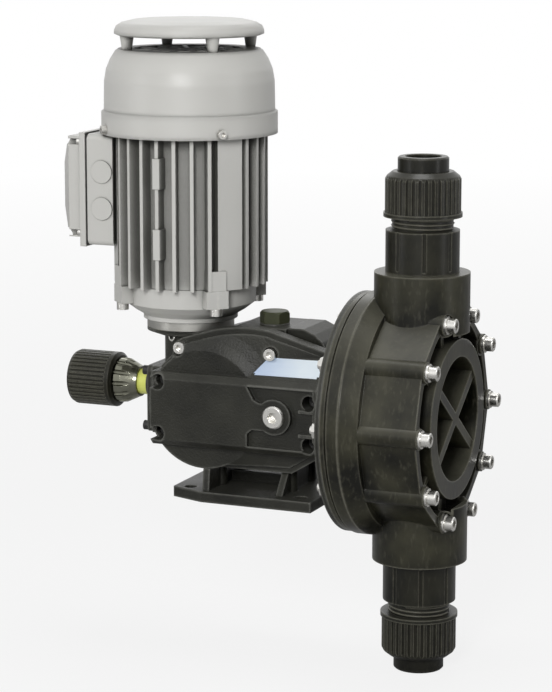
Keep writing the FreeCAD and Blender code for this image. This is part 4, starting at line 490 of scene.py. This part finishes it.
turned_by_axis = [turned("turned_steel_" + letter, axis) for axis, letter in enumerate("xyz")]
print(len(turned_by_axis), "turned steels")

# %% [markdown]
# ## The bright fluted cone and the index ring
# Behind the knob sits a plated fluted cone, which mirrors the white room in stripes, and a yellow-green ring on
# which the stroke is read. The cone's plating is given a dark colour, a painted reflection of the black gearbox,
# and its flutes are painted nearly black, a painted shade.

# %% Plated cone and index ring
plated = Finish("chrome_sleeve", Metallic=1.0)
breath = plated.speckle(0.006, 3.0)
# The flutes' hollows are painted nearly black, a painted shade; the plating's dark tones are a painted reflection of
# the black gearbox.
flute_shade = plated.between(plated.hollows(3 * MM), 0.15, 0.6)
tone = plated.mix(breath, shade(0.26, 0.26, 0.21), shade(0.13, 0.13, 0.1))
finishes["chrome_sleeve"] = plated.feed(
    Base_Color=plated.mix(flute_shade, tone, shade(0.02, 0.02, 0.012)),
    Roughness=0.1 + plated.between(breath, 0.4, 0.8) * 0.2,
    Normal=plated.bump(plated.speckle(0.002), 0.01 * MM, plated.rounded(0.25 * MM)))

ring = Finish("yellow_ring", Coat_Roughness=0.1)
milky = ring.speckle(0.005, 2.0)
# The ring is darker down in its hollows.
ring_hollows = ring.between(ring.hollows(1.5 * MM), 0.4, 1.0)
tone = ring.mix(milky, shade(0.76, 0.8, 0.2), shade(0.66, 0.7, 0.12))
finishes["yellow_ring"] = ring.feed(
    Base_Color=ring.mix(ring_hollows * 0.6, tone, shade(0.2, 0.21, 0.05)),
    Roughness=0.3 + milky * 0.15,
    Coat_Weight=0.2 + milky * 0.1,
    Normal=ring.bump(ring.speckle(0.0015), 0.02 * MM, ring.rounded(0.3 * MM)))
print("plated cone and index ring")

# %% [markdown]
# ## The filler plug, and what is inside
# The oil filler's plug is dark olive plastic. Inside are a bronze wheel, iron laminations, white
# fluoropolymer, polished balls and black rubber. Few of them show in the picture, but the part can be opened,
# so each gets its own surface too.

# %% Olive plug and rubber
plug = Finish("olive_plug", Specular_IOR_Level=0.25)
clouds = plug.speckle(0.006, 3.0)
finishes["olive_plug"] = plug.feed(
    Base_Color=plug.mix(clouds, shade(0.06, 0.065, 0.034), shade(0.04, 0.044, 0.022)),
    Roughness=0.38 + clouds * 0.15,
    Normal=plug.bump(plug.speckle(0.001), 0.04 * MM, plug.rounded(0.5 * MM)))

rubber = Finish("black_rubber", Specular_IOR_Level=0.35)
bloom = rubber.speckle(0.004, 4.0)
finishes["black_rubber"] = rubber.feed(
    Base_Color=rubber.mix(bloom, shade(0.016, 0.016, 0.016), shade(0.032, 0.031, 0.029)),
    Roughness=0.62 + bloom * 0.2,
    Normal=rubber.bump(bloom, 0.06 * MM, rubber.rounded(0.4 * MM)))
print("olive plug and rubber")

# %% [markdown]
# ## Bronze and iron
# The wheel is cast bronze, tarnished in clouds and marked across by its cutter. The laminations and the grey
# iron parts have dark graphite specks.

# %% Bronze and iron
cast_bronze = Finish("bronze", Metallic=1.0)
tarnish = cast_bronze.speckle(0.008, 4.0)
cuts = cast_bronze.speckle(0.0009, 2.0, (1.0, 0.05, 1.0))
finishes["bronze"] = cast_bronze.feed(
    Base_Color=cast_bronze.mix(tarnish, shade(0.6, 0.4, 0.17), shade(0.42, 0.25, 0.1)),
    Roughness=0.26 + tarnish * 0.2,
    Normal=cast_bronze.bump(cuts, 0.03 * MM, cast_bronze.rounded(0.3 * MM)))

iron = Finish("grey_iron", Metallic=0.9)
graphite = iron.speckle(0.0012, 4.0)
finishes["grey_iron"] = iron.feed(
    Base_Color=iron.mix(graphite, shade(0.24, 0.24, 0.24), shade(0.14, 0.138, 0.135)),
    Roughness=0.4 + graphite * 0.2,
    Normal=iron.bump(graphite, 0.05 * MM, iron.rounded(0.5 * MM)))
print("bronze and iron")

# %% [markdown]
# ## White plastics and ceramic
# The diaphragm and the seats are waxy white fluoropolymer, and the valve balls are glazed ceramic, which is the
# glossiest thing in the pump.

# %% White plastics and ceramic
fluoro = Finish("white_fluoropolymer", Specular_IOR_Level=0.4)
waxy = fluoro.speckle(0.01, 3.0)
finishes["white_fluoropolymer"] = fluoro.feed(
    Base_Color=fluoro.mix(waxy, shade(0.82, 0.82, 0.8), shade(0.74, 0.74, 0.71)),
    Roughness=0.4 + waxy * 0.15,
    Normal=fluoro.bump(fluoro.speckle(0.0008), 0.02 * MM, fluoro.rounded(0.4 * MM)))

ceramic = Finish("ball_ceramic", Coat_Weight=0.4, Coat_Roughness=0.05)
glaze = ceramic.speckle(0.005, 2.0)
finishes["ball_ceramic"] = ceramic.feed(
    Base_Color=ceramic.mix(glaze, shade(0.86, 0.86, 0.84), shade(0.8, 0.8, 0.76)),
    Roughness=0.12 + glaze * 0.08,
    Normal=ceramic.bump(glaze, 0.005 * MM))
print(len(finishes), "finishes")

# %% [markdown]
# ## Giving each CAD piece its finish
# The record names a material slot for each node. A CAD mesh is never edited here, so only the material in its
# slots changes. Turned pieces take the steel whose rings run round their longest side. Flat ones, such as the
# collar and the bearings, have their axis named.

# %% Assign the finishes
AXIS_OF_FLAT_PIECES = {"adapter_collar": 2, "motor_bearings": 2, "cam_shaft_bearings": 1}
PRESSED_SHEET = ("fan_cowl", "rain_canopy")
HEAD_MOULDINGS = ("pump_head", "backing_plate")
DARKENED_LOW = ("side_cover_screws", "rear_cover_screws")


def finish_of(name, slot):
    if name in PRESSED_SHEET:
        return pressed_paint
    if name in DARKENED_LOW:
        return cover_screw_finish
    if name in HEAD_MOULDINGS:
        return lit_head_plastic
    if slot != "turned_steel":
        return finishes[slot]
    low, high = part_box(name)
    size = high - low
    longest = max(range(3), key=lambda axis: size[axis])
    return turned_by_axis[AXIS_OF_FLAT_PIECES.get(name, longest)]


for entry in frame["record"]["subparts"]:
    piece, finish = nodes[entry["node"]], finish_of(entry["node"], entry["material_slot"])
    if not piece.material_slots:
        piece.data.materials.append(finish)
    for place in piece.material_slots:
        place.material = finish
print("finishes on", len(nodes), "pieces")

# %% [markdown]
# ## A bare plate on the sloping face
# The real pump carries a printed plate on the slope in front of the gearbox's top. Here it is left bare: thin
# satin metal following the slope's slanting left end, with a painted cool sheen, blue at the left end and paler to
# the right. A plate bent from four corner points is simplest as one face that is given thickness and small round
# corners.

# %% Nameplate
SLOPE_FOOT_Y, SLOPE_FOOT_Z = -45.0, 91.0
SLOPE_RISE, SLOPE_RUN = 15.0, 14.0
PLATE_CORNERS = ((9.2, 93.2), (58.6, 93.6), (58.0, 104.4), (17.6, 104.0))
PLATE_THICK = 0.45
PLATE_RADIUS = 1.6


def on_slope(x, z):
    """A point of the sloping face, from its x and its height, in millimetres."""
    return Vector((x, SLOPE_FOOT_Y + (z - SLOPE_FOOT_Z) * SLOPE_RUN / SLOPE_RISE, z)) * MM


def link_mesh(name, shape, finish, body="body"):
    """Makes a bmesh into a piece of its own, with its finish, on a body of the frame."""
    bmesh.ops.recalc_face_normals(shape, faces=shape.faces)
    mesh = bpy.data.meshes.new(name)
    shape.to_mesh(mesh)
    shape.free()
    mesh.materials.append(finish)
    piece = bpy.data.objects.new(name, mesh)
    scene.collection.objects.link(piece)
    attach(piece, body)
    return piece


label = Finish("bare_plate", Metallic=0.35, Coat_Weight=0.3, Coat_Roughness=0.12)
grain = label.speckle(0.0006, 3.0, (0.03, 1.0, 1.0))
across = label.node("SeparateXYZ", 0, {0: label.place})
# Blue at the left end, paler towards the right: a painted cool sheen.
cool_sheen = label.between(across + label.speckle(0.012, 2.0) * 0.012, 0.012, 0.05)
tone = label.mix(cool_sheen, shade(0.38, 0.5, 0.72), shade(0.66, 0.74, 0.8))
label_finish = label.feed(
    Base_Color=label.mix(grain * 0.25, tone, shade(0.8, 0.84, 0.88)),
    Roughness=0.3 + grain * 0.12,
    Normal=label.bump(grain, 0.01 * MM))

shape = bmesh.new()
corners = [shape.verts.new(on_slope(x, z)) for x, z in PLATE_CORNERS]
shape.faces.new(corners)
bmesh.ops.bevel(shape, geom=corners, offset=PLATE_RADIUS * MM, segments=4, affect="VERTICES")
outward = Vector((0.0, -SLOPE_RISE, SLOPE_RUN)).normalized() * PLATE_THICK * MM
raised = bmesh.ops.extrude_face_region(shape, geom=shape.faces[:])
raised_corners = [part for part in raised["geom"] if isinstance(part, bmesh.types.BMVert)]
bmesh.ops.translate(shape, vec=outward, verts=raised_corners)
plate = link_mesh("bare_nameplate", shape, label_finish)
print("plate", [round(side / MM, 1) for side in plate.dimensions])

# %% [markdown]
# ## One rule for screw threads and the return spring
# Between each valve's cage and its union nut a few turns of coarse moulded thread show, and inside the gearbox a
# steel spring pushes the plunger back. Both follow the same rule, a profile carried along a spiral, so one
# Geometry Nodes tree makes them, with the sizes as named inputs. A wound spring has its end turns nearly closed,
# so the tree can also slow the climb of the spiral at both ends.

# %% Coil tree
COIL_INPUTS = {"Radius": "Float", "Height": "Float", "Turns": "Float", "Wire": "Float", "Closed Ends": "Float",
               "Sides": "Int", "Steps": "Int", "Material": "Material"}


def coil_tree():
    """Builds the tree that carries a round or square profile along a spiral."""
    tree = bpy.data.node_groups.new("wound_coil", "GeometryNodeTree")
    for name, kind in COIL_INPUTS.items():
        tree.interface.new_socket(name, in_out="INPUT", socket_type="NodeSocket" + kind)
    tree.interface.new_socket("Geometry", in_out="OUTPUT", socket_type="NodeSocketGeometry")

    def add(kind, *links, output=0, **settings):
        """Adds a node, sets its settings and links (input name or number, wire) pairs."""
        made = tree.nodes.new(kind)
        for key, value in settings.items():
            setattr(made, key, value)
        for place, wire in links:
            tree.links.new(wire.socket, made.inputs[place])
        return Wire(tree, made.outputs[output])

    given = tree.nodes.new("NodeGroupInput")
    size = {name: Wire(tree, given.outputs[name]) for name in COIL_INPUTS}
    spiral = add("GeometryNodeCurveSpiral", ("Start Radius", size["Radius"]), ("End Radius", size["Radius"]),
                 ("Height", size["Height"]), ("Rotations", size["Turns"]), ("Resolution", size["Steps"]))
    along = add("GeometryNodeSplineParameter", output="Factor")
    slowed = add("ShaderNodeMapRange", ("Value", along), interpolation_type="SMOOTHSTEP")
    climb = (along + (slowed - along) * size["Closed Ends"]) * size["Height"]
    spot = add("GeometryNodeInputPosition")
    flat_x = add("ShaderNodeSeparateXYZ", (0, spot), output="X")
    flat_y = add("ShaderNodeSeparateXYZ", (0, spot), output="Y")
    lifted = add("ShaderNodeCombineXYZ", ("X", flat_x), ("Y", flat_y), ("Z", climb))
    moved = add("GeometryNodeSetPosition", ("Geometry", spiral), ("Position", lifted))
    profile = add("GeometryNodeCurvePrimitiveCircle", ("Radius", size["Wire"]), ("Resolution", size["Sides"]))
    solid = add("GeometryNodeCurveToMesh", ("Curve", moved), ("Profile Curve", profile))
    solid.socket.node.inputs["Fill Caps"].default_value = True
    real = add("GeometryNodeRealizeInstances", (0, solid))
    dressed = add("GeometryNodeSetMaterial", ("Geometry", real), ("Material", size["Material"]))
    tree.links.new(dressed.socket, tree.nodes.new("NodeGroupOutput").inputs[0])
    return tree


coil = coil_tree()
print("coil tree with", len(coil.nodes), "nodes")

# %% [markdown]
# ## From a node tree to a plain mesh
# The tree runs once with its inputs set. What it makes is kept as an ordinary mesh, so nothing is left that
# would have to be worked out again when the part is used elsewhere.

# %% Growing a plain mesh from the tree


def grow(name, tree, values, place, body="body"):
    """Runs a node tree once, keeps the result as a plain mesh and sets it in place."""
    seed = bpy.data.objects.new(name + "_seed", bpy.data.meshes.new(name + "_seed"))
    scene.collection.objects.link(seed)
    modifier = seed.modifiers.new("grow", "NODES")
    modifier.node_group = tree
    for item in tree.interface.items_tree:
        if item.in_out == "INPUT" and item.name in values:
            modifier[item.identifier] = values[item.name]
    evaluated = seed.evaluated_get(bpy.context.evaluated_depsgraph_get())
    mesh = bpy.data.meshes.new_from_object(evaluated)
    seed.modifiers.remove(modifier)
    bpy.data.objects.remove(seed)
    shape = bmesh.new()
    shape.from_mesh(mesh)
    bmesh.ops.transform(shape, matrix=place, verts=shape.verts)
    return link_mesh(name, shape, values["Material"], body)


print("grow ready")

# %% [markdown]
# ## The valves' threads
# A four-sided profile makes the ridge of a moulded thread. It is sunk for half its depth in the valve's neck.

# %% Both threads
VALVE_X = 117.5
HEAD_AXIS_Z = 65.0
THREAD_RADIUS = 20.9
THREAD_FROM, THREAD_TO = 131.6, 138.4
THREAD_PITCH = 3.0
THREAD_RIDGE = 0.9
thread_sizes = {"Radius": THREAD_RADIUS * MM, "Height": (THREAD_TO - THREAD_FROM) * MM, "Wire": THREAD_RIDGE * MM,
                "Turns": (THREAD_TO - THREAD_FROM) / THREAD_PITCH, "Closed Ends": 0.0, "Sides": 4, "Steps": 48,
                "Material": finishes["black_plastic"]}
for name, bottom in (("discharge_thread", HEAD_AXIS_Z + THREAD_FROM), ("suction_thread", HEAD_AXIS_Z - THREAD_TO)):
    upright = Matrix.Translation(Vector((VALVE_X, 0.0, bottom)) * MM)
    made = grow(name, coil, thread_sizes, upright)
    print(name, len(made.data.polygons), "faces")

# %% [markdown]
# ## The return spring
# The CAD spring is a rigid coil that moves with the plunger, so at full stroke it would run into the housing. A
# real one stays on the housing's wall and shortens. This round-wire coil stands for it: it stays with the housing,
# at its free length.

# %% Return spring
SPRING_RADIUS, SPRING_WIRE, SPRING_TURNS = 13.0, 1.45, 7.0
SPRING_ENDS_CLOSED = 0.5
spring_low, spring_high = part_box("return_spring")
free_length = spring_high.x - spring_low.x
spring_foot = Vector((spring_low.x + SPRING_WIRE * MM, 0.0, HEAD_AXIS_Z * MM))
lying = Matrix.Translation(spring_foot) @ Matrix.Rotation(math.pi / 2, 4, "Y")
spring_sizes = {"Radius": SPRING_RADIUS * MM, "Height": free_length - 2 * SPRING_WIRE * MM, "Wire": SPRING_WIRE * MM,
                "Turns": SPRING_TURNS, "Closed Ends": SPRING_ENDS_CLOSED, "Sides": 12, "Steps": 40,
                "Material": turned_by_axis[0]}
spring = grow("return_coil", coil, spring_sizes, lying)
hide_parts("return_spring")
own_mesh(spring)
print("spring", round(free_length / MM, 1), "mm long,", len(spring.data.polygons), "faces")

# %% [markdown]
# ## The set screw in the motor's neck
# A small socket set screw stands in the neck under the motor, facing the camera. Its cup is a hexagon, made by
# bridging a six-sided hole to a round rim.

# %% Set screw
SCREW_PLACE = Vector((-63.2, -17.4, 110.5)) * MM
SCREW_OUT = Vector((-5.95, -16.8, 0.0)).normalized()
SCREW_RADIUS, SCREW_LENGTH, SCREW_PROUD = 3.2 * MM, 4.0 * MM, 1.4 * MM
SCREW_CHAMFER = 0.35 * MM
SOCKET_HALF, SOCKET_DEPTH = 1.7 * MM, 1.8 * MM
ROUND_SIDES = 24


def socket_screw(place, out):
    """A round screw end whose face carries a hexagonal hole, closed at its floor."""
    shape = bmesh.new()

    def loop(size, height, hexagonal=False):
        """A closed row of points round the screw's axis. A hexagon's size is half its width across flats."""
        spots = []
        for number in range(ROUND_SIDES):
            angle = 2 * math.pi * number / ROUND_SIDES
            reach = size
            if hexagonal:
                reach = size / math.cos((angle % (math.pi / 3)) - math.pi / 6)
            spots.append(shape.verts.new((reach * math.cos(angle), reach * math.sin(angle), height)))
        return spots

    loops = [loop(SCREW_RADIUS, -SCREW_LENGTH), loop(SCREW_RADIUS, -SCREW_CHAMFER),
             loop(SCREW_RADIUS - SCREW_CHAMFER, 0.0), loop(SOCKET_HALF, 0.0, True),
             loop(SOCKET_HALF, -SOCKET_DEPTH, True)]
    shape.faces.new(list(reversed(loops[0])))
    for lower, upper in zip(loops, loops[1:]):
        for number in range(ROUND_SIDES):
            after = (number + 1) % ROUND_SIDES
            shape.faces.new((lower[number], lower[after], upper[after], upper[number]))
    shape.faces.new(loops[-1])
    turn = out.to_track_quat("Z", "Y").to_matrix().to_4x4()
    bmesh.ops.transform(shape, matrix=Matrix.Translation(place) @ turn, verts=shape.verts)
    return shape


screw = socket_screw(SCREW_PLACE + SCREW_OUT * SCREW_PROUD, SCREW_OUT)
link_mesh("neck_set_screw", screw, finishes["bright_steel"])
print("set screw at", [round(value / MM, 1) for value in SCREW_PLACE])
